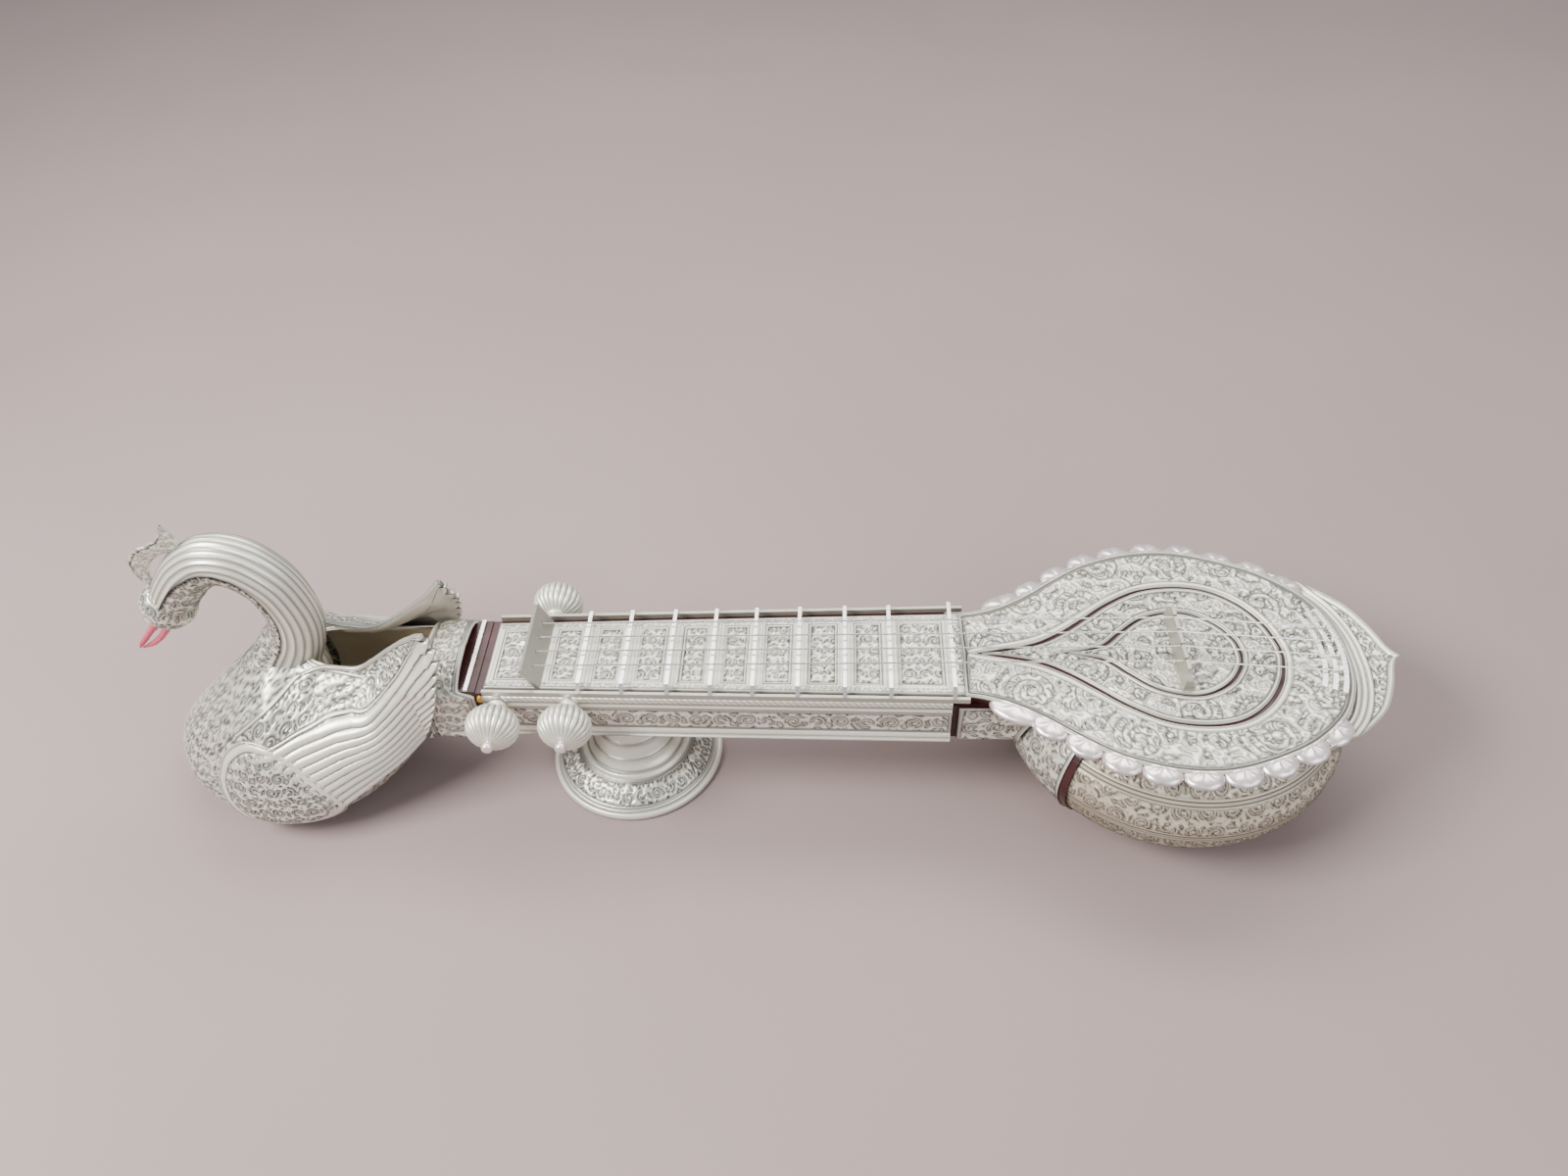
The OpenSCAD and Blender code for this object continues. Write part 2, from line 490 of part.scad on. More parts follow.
// half width of the body at a place and height
function body_y(x, z) = let (s = body_at(min(x, -362)),
    u = max(0, min(1, (z - s[3]) / (s[4] - s[3]))),
    v = max(0, min(1, (s[3] - z) / (s[3] - s[1]))))
  z > s[3] ? s[5] + (s[2] - s[5]) * pow(max(0, 1 - u * u), fullness(x)) : s[2] * pow(max(0, 1 - v * v), 0.4);
function wing_y(x, z) = max(body_y(x, z), x > -368 ? 24.6 - max(0, z - 80) * 0.27 : 14.5) + 1.1;
wing_t = 2.2;
module wing() {
  n = len(wing_grid);
  m = len(wing_grid[0]);
  q = n * m;
  pts = concat([for (c = wing_grid) for (p = c) [p[0], wing_y(p[0], p[1]) + wing_t, p[1]]],
    [for (c = wing_grid) for (p = c) [p[0], wing_y(p[0], p[1]), p[1]]]);
  polyhedron(pts, concat(
    [for (i = [0:n - 2]) for (j = [0:m - 2]) let (a = i * m + j, b = a + m)
      for (f = [[a, a + 1, b], [a + 1, b + 1, b]]) f],
    [for (i = [0:n - 2]) for (j = [0:m - 2]) let (a = q + i * m + j, b = a + m)
      for (f = [[a, b, a + 1], [a + 1, b, b + 1]]) f],
    [for (i = [0:n - 2]) let (a = i * m, b = a + m, c = a + m - 1, d = b + m - 1)
      for (f = [[a, b, q + a], [b, q + b, q + a], [c, q + c, d], [d, q + c, q + d]]) f],
    [for (j = [0:m - 2]) let (e = (n - 1) * m + j)
      for (f = [[j, q + j, j + 1], [q + j, q + j + 1, j + 1],
        [e, e + 1, q + e], [q + e, e + 1, q + e + 1]]) f]));
}
module near_wing() color(silver) mirror([0, 1, 0]) wing();
module far_wing() color(silver) wing();

// upper gourd: a flared bell on a stem
bell_line = [[foot_r - 3.6, 0], [foot_r - 0.8, 0], [foot_r, 1], [foot_r, 2.6], [foot_r - 1, 3.8],
  [foot_r - 2.4, 4], [foot_r - 2.8, 3.6], [foot_r - 4, 5], [35, 9.4], [30, 12.6], [28.6, 13.4], [28, 14.8],
  [26.6, 15], [25.6, 14.6], [22.6, 18], [22, 20.4], [21, 20.6], [18.6, 26], [18, 28], [17, 28.2], [15, 35],
  [13.2, 41], [12, 41], [13.2, 35], [15.4, 26], [20, 17.6], [25.5, 12.6], [33.6, 7.6]];
stem_line = [[0, 28], [11.6, 28], [11.9, 41.05], [16, 41.05], [16.6, 42.4], [14.6, 43.6], [14.6, 45],
  [17.4, 46.4], [17.4, neck_z - 1.25], [0, neck_z - 1.25]];
module foot_bell() color(silver) translate([foot_x, 0, 0]) rotate_extrude($fn = fine) polygon(bell_line);
module foot_stem() color(tan_c) translate([foot_x, 0, 0]) difference() {
  rotate_extrude($fn = fine) polygon(stem_line);
  translate([0, 0, 20]) cylinder(h = 40, r = stud_r + 0.05, $fn = fine);
}
stud_r = 3;
stud_z = 24;
nut_spans = [[stud_z + 0.2, 27.8], [cavity_z + 0.1, cavity_z + 3.6]];
module foot_stud() color(steel) translate([foot_x, 0, stud_z])
  cylinder(h = cavity_z + 6 - stud_z, r = stud_r, $fn = fine);
module foot_nuts() color(steel) for (z = nut_spans) translate([foot_x, 0, z[0]]) difference() {
  cylinder(h = z[1] - z[0], r = 6, $fn = 6);
  translate([0, 0, -1]) cylinder(h = 8, r = stud_r + 0.02, $fn = fine);
}

neck_core();
fretboard_plate();
near_side_panel();
far_side_panel();
underside_plate();
side_rails();
heel_sleeve();
bowl_shell();
heel_cup();
cup_strips();
soundboard_base();
soundboard_outer();
soundboard_middle();
soundboard_centre();
near_petals();
far_petals();
tail_leaf();
tailpiece();
string_pins();
bridge();
nut();
hitch_pin();
fret_1();
fret_2();
fret_3();
fret_4();
fret_5();
fret_6();
fret_7();
fret_8();
fret_9();
string_1();
string_2();
string_3();
string_4();
peg_1_shaft();
peg_1_knob();
peg_1_winding();
peg_2_shaft();
peg_2_knob();
peg_2_winding();
peg_3_shaft();
peg_3_knob();
peg_3_winding();
peg_ferrules();
socket_collar();
collar_band();
fillet_strip();
collar_screws();
swan_body();
swan_neck();
swan_head();
swan_beak();
swan_crest();
near_wing();
far_wing();
foot_bell();
foot_stem();
foot_stud();
foot_nuts();
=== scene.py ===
"""Looks of the ornamental swan-headed sitar: chased silver over lacquered wood."""
import json
import math

import bpy
import numpy as np
from mathutils import Matrix, Vector


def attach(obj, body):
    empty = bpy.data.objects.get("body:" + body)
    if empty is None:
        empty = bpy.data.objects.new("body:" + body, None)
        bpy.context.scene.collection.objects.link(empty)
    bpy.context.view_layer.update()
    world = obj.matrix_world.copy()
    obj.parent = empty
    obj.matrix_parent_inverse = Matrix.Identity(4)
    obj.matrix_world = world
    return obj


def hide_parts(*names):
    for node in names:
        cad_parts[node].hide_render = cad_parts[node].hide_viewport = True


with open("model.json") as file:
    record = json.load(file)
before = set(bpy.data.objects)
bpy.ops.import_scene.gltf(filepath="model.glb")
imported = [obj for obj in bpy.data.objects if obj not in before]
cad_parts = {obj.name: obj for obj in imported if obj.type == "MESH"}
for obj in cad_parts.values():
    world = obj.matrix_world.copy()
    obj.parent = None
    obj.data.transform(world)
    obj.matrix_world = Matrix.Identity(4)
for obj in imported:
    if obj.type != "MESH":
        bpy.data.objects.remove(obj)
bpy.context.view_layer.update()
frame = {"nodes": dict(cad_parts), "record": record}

# Lengths are in mm until a mesh is made.
STEP = 0.62  # pitch of the mesh grids
TURN = 2 * math.pi
FACE_Z = 77.0  # top face of the soundboard and the fretboard
NECK_START, NECK_END, BOARD_START = -329.0, -109.0, -103.0
PLATE_THICK = 1.4
BOWL_R = 79.0

# ---------------------------------------------------------------- curves


def spline(rows, n):
    """Catmull-Rom curve through rows, n points a span."""
    p = np.asarray(rows, float)
    q = np.vstack([p[:1], p, p[-1:]])
    t = np.arange(n)[:, None] / n
    out = []
    for i in range(len(p) - 1):
        a, b, c, d = q[i:i + 4]
        square = (2 * a - 5 * b + 4 * c - d) * t ** 2
        cube = (3 * b - a - 3 * c + d) * t ** 3
        out.append(0.5 * (2 * b + (c - a) * t + square + cube))
    out.append(p[-1:])
    return np.vstack(out)


def run(pts):
    """Distance along a polyline at each of its points."""
    return np.r_[0, np.cumsum(np.linalg.norm(np.diff(pts, axis=0), axis=1))]


def run_across(grid):
    """Distance along each row of a grid of points."""
    return np.pad(np.cumsum(np.linalg.norm(np.diff(grid, axis=1), axis=2), axis=1), ((0, 0), (1, 0)))


def length(pts):
    return float(run(np.asarray(pts, float))[-1])


def resample(pts, n):
    """n points evenly spaced along a polyline."""
    pts = np.asarray(pts, float)
    d = run(pts)
    s = np.linspace(0, d[-1], n)
    return np.stack([np.interp(s, d, pts[:, k]) for k in range(pts.shape[1])], 1)


def unit(v):
    """Vectors along the last axis, scaled to length one."""
    return v / np.maximum(np.linalg.norm(v, axis=-1), 1e-9)[..., None]


def count(mm, step=None):
    """Grid points for a length."""
    return max(3, int(mm / (step or STEP)) + 1)


def circle(n):
    return np.linspace(0, TURN, n, endpoint=False)


def grid(a, b):
    return np.meshgrid(a, b, indexing="ij")


def between(a, b, n):
    """Grid between two polylines of the same count."""
    s = np.linspace(0, 1, n)[None, :, None]
    return a[:, None, :] * (1 - s) + b[:, None, :] * s


def both(half):
    """Closed outline from a half outline running from the swan side to the tail."""
    a = spline(half, 12)
    return np.vstack([a, (a[::-1] * [1, -1])[1:]])


def smooth(a, b, x):
    t = np.clip((x - a) / (b - a), 0, 1)
    return t * t * (3 - 2 * t)


def wave(x, pitch):
    """Cosine between 0 and 1."""
    return 0.5 + 0.5 * np.cos(x * TURN / pitch)


# ---------------------------------------------------------------- chasing
TILE = 128.0
CELL = 0.25


def vine_tile(seed, pitch):
    """Signed distance to a running vine of spirals and leaves, on a seamless tile."""
    r = np.random.default_rng(seed)
    n = int(TILE / CELL)
    field = np.full((n, n), 6.0)
    reach = 4.2
    hub = 0.07 * pitch
    outer = pitch * 0.44
    turns = 1.55

    def stamp(x, y, rad):
        k = int(reach / CELL)
        ix = np.arange(-k, k + 1) + int(x / CELL)
        iy = np.arange(-k, k + 1) + int(y / CELL)
        d = np.hypot((ix * CELL - x)[:, None], (iy * CELL - y)[None, :]) - rad
        g = np.ix_(ix % n, iy % n)
        field[g] = np.minimum(field[g], d)

    def leaf(x, y, ang, size, curl):
        for s in np.linspace(0, 1, 12):
            stamp(x, y, size * 0.42 * math.sin(math.pi * (0.12 + 0.86 * s)) ** 0.8)
            x += math.cos(ang) * size * 0.17
            y += math.sin(ang) * size * 0.17
            ang += curl / 12

    def spiral_point(cx, cy, start, hand, s):
        ang = start + hand * s * turns * TURN
        rad = outer * (1 - s) ** 0.8 + hub
        return cx + rad * math.cos(ang), cy + rad * math.sin(ang), ang

    cols = int(round(TILE / pitch))
    rows = int(round(TILE / (pitch * 0.866) / 2) * 2)
    px, py = TILE / cols, TILE / rows
    for j in range(rows):
        for i in range(cols):
            hand = 1 if (i + j) % 2 else -1
            cx = (i + 0.5 * (j % 2)) * px + r.normal(0, 0.05 * pitch)
            cy = j * py + r.normal(0, 0.04 * pitch)
            start = 0 if hand > 0 else math.pi
            if r.random() < 0.3:
                start = r.uniform(0, TURN)
            for s in np.linspace(0, 1, 70):
                x, y, _ = spiral_point(cx, cy, start, hand, s)
                stamp(x, y, pitch * (0.058 - 0.02 * s))
            stamp(cx, cy, pitch * 0.085)
            for s in (0.1, 0.24, 0.38, 0.52):
                x, y, ang = spiral_point(cx, cy, start, hand, s)
                leaf(x, y, ang + hand * 0.8, pitch * 0.26, -hand * 1.4)
            # stem on to the next spiral
            for s in np.linspace(0, 1, 14):
                stamp(cx + px * s, cy + hand * outer * math.cos(math.pi * s), pitch * 0.045)
    return field


TILES = {"wide": vine_tile(5, 11.6), "fine": vine_tile(9, 8.0)}
GRIT = np.random.default_rng(11).random((512, 512))


def sample(tile, u, v):
    """Tile value at u, v, which repeat every TILE mm, between its four nearest cells."""
    n = tile.shape[0]
    step = TILE / n
    a, b = (u / step) % n, (v / step) % n
    i, j = np.floor(a).astype(int), np.floor(b).astype(int)
    fa, fb = a - i, b - j
    i, j = i % n, j % n
    i1, j1 = (i + 1) % n, (j + 1) % n
    return ((1 - fa) * (1 - fb) * tile[i, j] + fa * (1 - fb) * tile[i1, j]
            + (1 - fa) * fb * tile[i, j1] + fa * fb * tile[i1, j1])


def chase(u, v, kind, deep=1.0, zoom=1.0, big=0.0):
    """Height in mm and darkness 0-1 of chased scrollwork, with large scrolls over it by weight big."""
    s = sample(TILES[kind], u / zoom, v / zoom) * zoom
    grit = sample(GRIT, u * 1.9, v * 1.9)
    inside = np.clip(-s / 0.75, 0, 1)
    line = np.exp(-((s - 0.25) / 0.36) ** 2)
    back = smooth(0.5, 0.9, s)
    h = 0.30 * np.sqrt(1 - (1 - inside) ** 2) - 0.24 * line - back * (0.05 + 0.14 * grit)
    dark = 0.92 * line + back * (0.18 + 0.45 * smooth(0.55, 0.95, grit))
    if big:
        b = sample(TILES["wide"], u / 2.5 + 17, v / 2.5 + 9) * 2.5
        groove = np.exp(-((b - 0.35) / 0.45) ** 2)
        h = h + big * (0.35 * np.clip(-b / 1.4, 0, 1) - 0.3 * groove)
        dark = np.maximum(dark * (1 - 0.35 * (b < 0)), big * groove)
    return h * deep, np.clip(dark, 0, 1)


def bead(x, at, width, height):
    """Raised rounded line across x."""
    return height * np.clip(1 - ((x - at) / (width / 2)) ** 2, 0, 1) ** 0.5


def cut(x, at, width):
    """Soft groove weight 0-1 across x."""
    return np.exp(-((x - at) / (width * 0.5)) ** 2)


def framed(dist, h, c, margin):
    """Border of double lines dist mm in from an edge, with the chasing h, c inside it."""
    keep = smooth(margin - 0.3, margin + 0.5, dist)
    rim = bead(dist, margin * 0.52, margin * 0.55, 0.34) + bead(dist, 0.0, 1.0, 0.22)
    lines = np.clip(cut(dist, margin * 0.17, 0.62) + cut(dist, margin * 0.92, 0.75), 0, 1)
    return h * keep + rim * (1 - keep) - 0.22 * lines, np.clip(c * keep + 0.85 * lines, 0, 1)


# ---------------------------------------------------------------- materials


def nodes_of(m):
    """Empty node tree of a material, with a shader on its output."""
    m.use_nodes = True
    t = m.node_tree
    t.nodes.clear()
    out = t.nodes.new("ShaderNodeOutputMaterial")
    p = t.nodes.new("ShaderNodeBsdfPrincipled")
    t.links.new(p.outputs[0], out.inputs[0])
    return t, p


def mixed(t, fac, a, b, blend="MIX"):
    """Blend of two colours; each input is a socket, a colour or a number."""
    n = t.nodes.new("ShaderNodeMix")
    n.data_type = "RGBA"
    n.blend_type = blend
    for value, socket in ((fac, n.inputs[0]), (a, n.inputs[6]), (b, n.inputs[7])):
        if isinstance(value, bpy.types.NodeSocket):
            t.links.new(value, socket)
        else:
            socket.default_value = (*value, 1) if isinstance(value, tuple) else value
    return n.outputs[2]


def noise(t, scale, detail=4.0, rough=0.6, stretch=(1, 1, 1)):
    co = t.nodes.new("ShaderNodeTexCoord")
    m = t.nodes.new("ShaderNodeMapping")
    m.inputs["Scale"].default_value = stretch
    n = t.nodes.new("ShaderNodeTexNoise")
    n.inputs["Scale"].default_value = scale
    n.inputs["Detail"].default_value = detail
    n.inputs["Roughness"].default_value = rough
    t.links.new(co.outputs["Object"], m.inputs[0])
    t.links.new(m.outputs[0], n.inputs[0])
    return n.outputs[0]


def ramp(t, value, low, high):
    """Colour ramp between two (position, colour or grey) stops."""
    r = t.nodes.new("ShaderNodeValToRGB")
    t.links.new(value, r.inputs[0])
    for stop, (pos, col) in zip(r.color_ramp.elements, (low, high)):
        stop.position = pos
        stop.color = (*col, 1) if isinstance(col, tuple) else (col, col, col, 1)
    return r.outputs[0]


def bump(t, value, p, strength, dist):
    b = t.nodes.new("ShaderNodeBump")
    b.inputs["Strength"].default_value = strength
    b.inputs["Distance"].default_value = dist
    t.links.new(value, b.inputs["Height"])
    t.links.new(b.outputs[0], p.inputs["Normal"])


def silver(name, light, tint, dark, metal, rough, grain=0.35, patina=0.35):
    """Metal with patches of tint, fine grain, and dark wherever the mesh is recessed."""
    m = bpy.data.materials.new(name)
    t, p = nodes_of(m)
    recess = t.nodes.new("ShaderNodeAttribute")
    recess.attribute_name = "recess"
    patch = t.nodes.new("ShaderNodeMath")
    patch.operation = "MULTIPLY"
    t.links.new(ramp(t, noise(t, 26, 5), (0.40, 0.0), (0.66, 1.0)), patch.inputs[0])
    patch.inputs[1].default_value = patina
    base = mixed(t, patch.outputs[0], light, tint)
    fine = ramp(t, noise(t, 900, 2), (0.3, 0.80), (0.62, 1.0))
    grained = mixed(t, grain, base, fine, "MULTIPLY")
    t.links.new(mixed(t, recess.outputs["Fac"], grained, dark), p.inputs["Base Color"])
    p.inputs["Metallic"].default_value = metal
    spread = t.nodes.new("ShaderNodeMapRange")
    t.links.new(noise(t, 60, 3), spread.inputs[0])
    spread.inputs[3].default_value = rough - 0.08
    spread.inputs[4].default_value = rough + 0.10
    t.links.new(spread.outputs[0], p.inputs["Roughness"])
    bump(t, noise(t, 1400, 3, 0.7), p, 0.30, 0.00025)
    return m


def lacquer(name, a, b, rough):
    """Thin clear-coated lacquer with a faint grain along the neck."""
    m = bpy.data.materials.new(name)
    t, p = nodes_of(m)
    g = noise(t, 120, 5, 0.65, (0.12, 1, 1))
    t.links.new(ramp(t, g, (0.3, a), (0.7, b)), p.inputs["Base Color"])
    p.inputs["Roughness"].default_value = rough
    p.inputs["Coat Weight"].default_value = 0.25
    bump(t, g, p, 0.3, 0.0004)
    return m


CHASED = silver("chased_silver", (0.88, 0.87, 0.79), (0.72, 0.70, 0.57), (0.030, 0.024, 0.020), 0.50, 0.36)
WARM = silver("chased_silver_warm", (0.80, 0.74, 0.62), (0.62, 0.54, 0.40), (0.035, 0.028, 0.020), 0.50, 0.38)
AGED = silver("aged_silver", (0.52, 0.51, 0.45), (0.40, 0.38, 0.31), (0.08, 0.07, 0.06), 0.6, 0.38)
BRIGHT = silver("polished_silver", (0.88, 0.87, 0.85), (0.78, 0.77, 0.74), (0.20, 0.17, 0.16), 0.85, 0.24,
                grain=0.12, patina=0.2)
BLUSH = silver("blush_silver", (0.90, 0.84, 0.82), (0.84, 0.72, 0.70), (0.30, 0.20, 0.19), 0.70, 0.26,
               grain=0.12, patina=0.5)
MAROON = lacquer("maroon_lacquer", (0.036, 0.009, 0.011), (0.080, 0.024, 0.024), 0.36)
WING_BACK = lacquer("wing_back", (0.62, 0.57, 0.48), (0.76, 0.71, 0.62), 0.50)
# painted light: the lining's tan is pushed lighter, near cream, to stand in for light that does not reach inside
# the body
LINING_PAINTED_LIGHT = lacquer("tan_lining_painted_light", (0.92, 0.83, 0.67), (0.96, 0.89, 0.75), 0.60)
STEEL = silver("string_wire", (0.86, 0.86, 0.85), (0.74, 0.74, 0.72), (0.3, 0.3, 0.3), 0.95, 0.20,
               grain=0.1, patina=0.2)
PINK = silver("pink_enamel", (0.62, 0.13, 0.19), (0.74, 0.26, 0.31), (0.25, 0.03, 0.05), 0.15, 0.30,
              grain=0.2, patina=0.4)
BRASS = silver("worn_brass", (0.72, 0.50, 0.14), (0.50, 0.33, 0.10), (0.15, 0.08, 0.03), 0.9, 0.32,
               grain=0.3, patina=0.5)

SLOT_LOOK = {"maroon_lacquer": MAROON, "chased_silver": CHASED, "polished_silver": BRIGHT, "steel_wire": STEEL,
             "pink_enamel": PINK, "brass": BRASS}
NODE_LOOK = {"foot_stem": WARM, "bridge": AGED, "nut": AGED, "side_rails": AGED}
for part in frame["record"]["subparts"]:
    mats = frame["nodes"][part["node"]].data.materials
    mats.clear()
    mats.append(NODE_LOOK.get(part["node"], SLOT_LOOK[part["material_slot"]]))

# ---------------------------------------------------------------- meshes


def normals(p, wrap_u, wrap_v):
    def diff(axis, wrap):
        if wrap:
            return np.roll(p, -1, axis) - np.roll(p, 1, axis)
        return np.gradient(p, axis=axis)
    return unit(np.cross(diff(0, wrap_u), diff(1, wrap_v)))


def build(name, sheets, mat, nodes=(), body="instrument"):
    """One object from grids of (points, darkness, wrap_u, wrap_v), riding a body in place of nodes."""
    points, faces, darks, base = [], [], [], 0
    for p, c, wrap_u, wrap_v in sheets:
        nu, nv = p.shape[:2]
        ids = np.arange(nu * nv).reshape(nu, nv) + base
        if wrap_u:
            ids = np.vstack([ids, ids[:1]])
        if wrap_v:
            ids = np.hstack([ids, ids[:, :1]])
        faces.append(np.stack([ids[:-1, :-1], ids[1:, :-1], ids[1:, 1:], ids[:-1, 1:]], -1).reshape(-1, 4))
        points.append(p.reshape(-1, 3))
        darks.append(np.broadcast_to(c, (nu, nv)).reshape(-1))
        base += nu * nv
    v, f, c = np.vstack(points) * 0.001, np.vstack(faces), np.concatenate(darks)
    me = bpy.data.meshes.new(name)
    me.vertices.add(len(v))
    me.vertices.foreach_set("co", v.astype(np.float32).ravel())
    me.loops.add(f.size)
    me.loops.foreach_set("vertex_index", f.astype(np.int32).ravel())
    me.polygons.add(len(f))
    me.polygons.foreach_set("loop_start", np.arange(0, f.size, 4, dtype=np.int32))
    me.polygons.foreach_set("loop_total", np.full(len(f), 4, np.int32))
    me.update(calc_edges=True)
    recess = me.attributes.new("recess", "FLOAT", "POINT")
    recess.data.foreach_set("value", c.astype(np.float32))
    me.validate(clean_customdata=False)
    me.polygons.foreach_set("use_smooth", np.ones(len(me.polygons), bool))
    me.materials.append(mat)
    o = bpy.data.objects.new(name, me)
    bpy.context.scene.collection.objects.link(o)
    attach(o, body)
    if nodes:
        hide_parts(*nodes)


def skin(p, h, c, wrap_u=False, wrap_v=False, flip=False, skirt=1.2, down=False, out=None):
    """Grid p raised by h along its normals, with a skirt turned in, or down, at its open edges.

    flip turns the normals over; out is a direction that every normal has to agree with.
    """
    n = normals(p, wrap_u, wrap_v) * (-1 if flip else 1)
    if out is not None:
        n = np.where((n @ np.array(out, float))[..., None] < 0, -n, n)
    raised = p + n * np.asarray(h)[..., None]
    turned_in = p - skirt * (np.array([0, 0, 1]) if down else n)
    pad = ((0, 0) if wrap_u else (1, 1), (0, 0) if wrap_v else (1, 1))
    at_edge = np.pad(np.zeros(p.shape[:2]), pad, constant_values=1)[..., None] > 0
    q = np.where(at_edge, np.pad(turned_in, pad + ((0, 0),), "edge"), np.pad(raised, pad + ((0, 0),), "edge"))
    dark = np.pad(np.broadcast_to(c, p.shape[:2]).astype(float), pad, constant_values=0.5)
    if flip:
        q, dark = q[::-1], dark[::-1]
    return q, dark, wrap_u, wrap_v


def plain(q, dark=0.0, turned_over=False, wrap_v=False):
    """Grid without relief, as a sheet for build."""
    return q[::-1] if turned_over else q, np.full(q.shape[:2], dark), False, wrap_v


# ---------------------------------------------------------------- soundboard
# Half outlines, x along the instrument and y out from its middle.
BOARD = [[-102.8, 25.6], [-95, 27], [-85, 30.4], [-76, 35], [-66, 41.5], [-56, 49], [-40, 59.5], [-26, 65],
         [-12, 68.3], [3, 69], [15, 67], [27, 63], [40, 57.3], [50, 51.5], [60, 43], [68, 33.5], [73.5, 21],
         [76, 9], [76.4, 0]]
LARGE_DROP = [[-99, 0], [-85, 3], [-68, 7], [-55, 14], [-43, 23], [-30, 33], [-14, 41.5], [4, 44], [20, 41],
              [33, 32], [42, 19], [46, 6], [46.6, 0]]
SMALL_DROP = [[-58, 0], [-38, 5], [-27, 14], [-16, 22.5], [-3, 26.5], [8, 25.5], [19, 19], [26, 9], [28, 0]]


def within(half, start, end, squeeze, gap):
    """Half outline a little inside another one, leaving the maroon gap between two plates."""
    return [[start, 0]] + [[x * squeeze, max(0.5, y - gap)] for x, y in half[1:-1]] + [[end, 0]]


def plate(name, node, outer, inner, margin, kind="fine", shift=(0, 0), hole=True, rim=0.0):
    """Chased sheet from one closed outline in to another, with its edges turned down."""
    n = count(length(outer))
    a, b = resample(outer, n), resample(inner, n)
    wide = np.linalg.norm(a - b, axis=1)[:, None]
    g = between(a, b, count(wide.max()))
    h, c = chase(g[..., 0] + shift[0], g[..., 1] + shift[1], kind, big=0.9)
    s = np.linspace(0, 1, g.shape[1])[None, :]
    from_rim = s * wide
    h, c = framed(np.minimum(from_rim, (1 - s) * wide) if hole else from_rim, h, c, margin)
    # groove just inside the rim: cut 0.7 mm deep, with painted shade (darkness 0.97) along it
    groove = rim * cut(from_rim, 2.3, 1.9)
    h, c = h - 0.7 * groove, np.maximum(c, 0.97 * groove)
    pad = (1, 1 if hole else 0)
    q = np.pad(np.dstack([g, FACE_Z + h]), ((0, 0), pad, (0, 0)), "edge")
    q[:, 0, 2] = FACE_Z - PLATE_THICK
    if hole:
        q[:, -1, 2] = FACE_Z - PLATE_THICK
    build(name, [(q, np.pad(c, ((0, 0), pad), constant_values=0.6), False, False)], CHASED, [node])


def soundboard():
    corner = [BOARD[0][0], 0]
    plate("chased_soundboard_border", "soundboard_outer", np.vstack([corner, both(BOARD), corner]),
          both(LARGE_DROP), 3.8, kind="wide", rim=1.0)
    plate("chased_soundboard_middle", "soundboard_middle", both(within(LARGE_DROP, -93.5, 44.2, 0.97, 2.1)),
          both(SMALL_DROP), 2.2, shift=(3, 41))
    ridge = np.linspace([-38, 0], [12, 0], 40)
    plate("chased_soundboard_centre", "soundboard_centre", both(within(SMALL_DROP, -53, 26.0, 0.96, 1.8)),
          np.vstack([ridge, ridge[::-1]]), 2.2, shift=(7, 3), hole=False)


soundboard()

# ---------------------------------------------------------------- neck
# The frets at rest, and the step up to the soundboard.
PANEL_ENDS = [-303.0, -282.7, -262.3, -241.0, -220.8, -201.1, -180.1, -158.3, -137.1, -108.1]


def half_width(x):
    """Half width of the neck, which widens towards the soundboard."""
    return 20.5 + (x - NECK_START) * (25.3 - 20.5) / (PANEL_ENDS[-1] - NECK_START)


def fretboard():
    """Chased panels between the frets, fluted strips under them, and a border along both edges."""
    X, S = grid(np.linspace(NECK_START, BOARD_START, count(BOARD_START - NECK_START)),
                np.linspace(-1, 1, count(48)))
    Y = S * half_width(X)
    edge = half_width(X) - np.abs(Y)
    panel = np.full_like(X, 3.0)
    for a, b in zip(PANEL_ENDS[:-1], PANEL_ENDS[1:]):
        panel = np.where((X >= a) & (X < b), np.minimum(X - a - 4.2, b - X - 3.4), panel)
    panel = np.where(X < PANEL_ENDS[0], np.minimum(X + 325.5, -308.0 - X), panel)
    panel = np.minimum(panel, edge - 4.6)
    h, c = framed(panel, *chase(X + 4, Y + 5.5, "fine", 0.9), 1.6)
    flute, fluted = wave(X, 1.7), edge > 3.6
    h = np.where(panel < 0, -0.05 + 0.16 * flute * fluted, h)
    c = np.where(panel < 0, (1 - flute) * 0.42 * fluted, c)
    hb, cb = framed(edge, *chase(X, Y, "fine", 0.5, 0.5), 1.1)
    border = edge < 3.8
    P = np.dstack([X, Y, FACE_Z + np.where(border, hb * 0.8, h)])
    c = np.where(border, cb * 0.8, c)
    sheet = skin(P, np.zeros_like(X), c, skirt=PLATE_THICK, down=True)
    build("chased_fretboard", [sheet], CHASED, ["fretboard_plate"])


# Distance out from the neck's core and height, from the top edge down.
SIDE = [[1.1, 75.4], [1.95, 75.0], [2.1, 72.5], [1.5, 71.4], [2.0, 69.6], [1.75, 68.4], [1.15, 67.9],
        [1.2, 60], [1.15, 53], [1.75, 52.2], [2.0, 50.8], [1.6, 49.6], [1.2, 49.0], [1.2, 47.8]]
CORE_GAP = 2.6


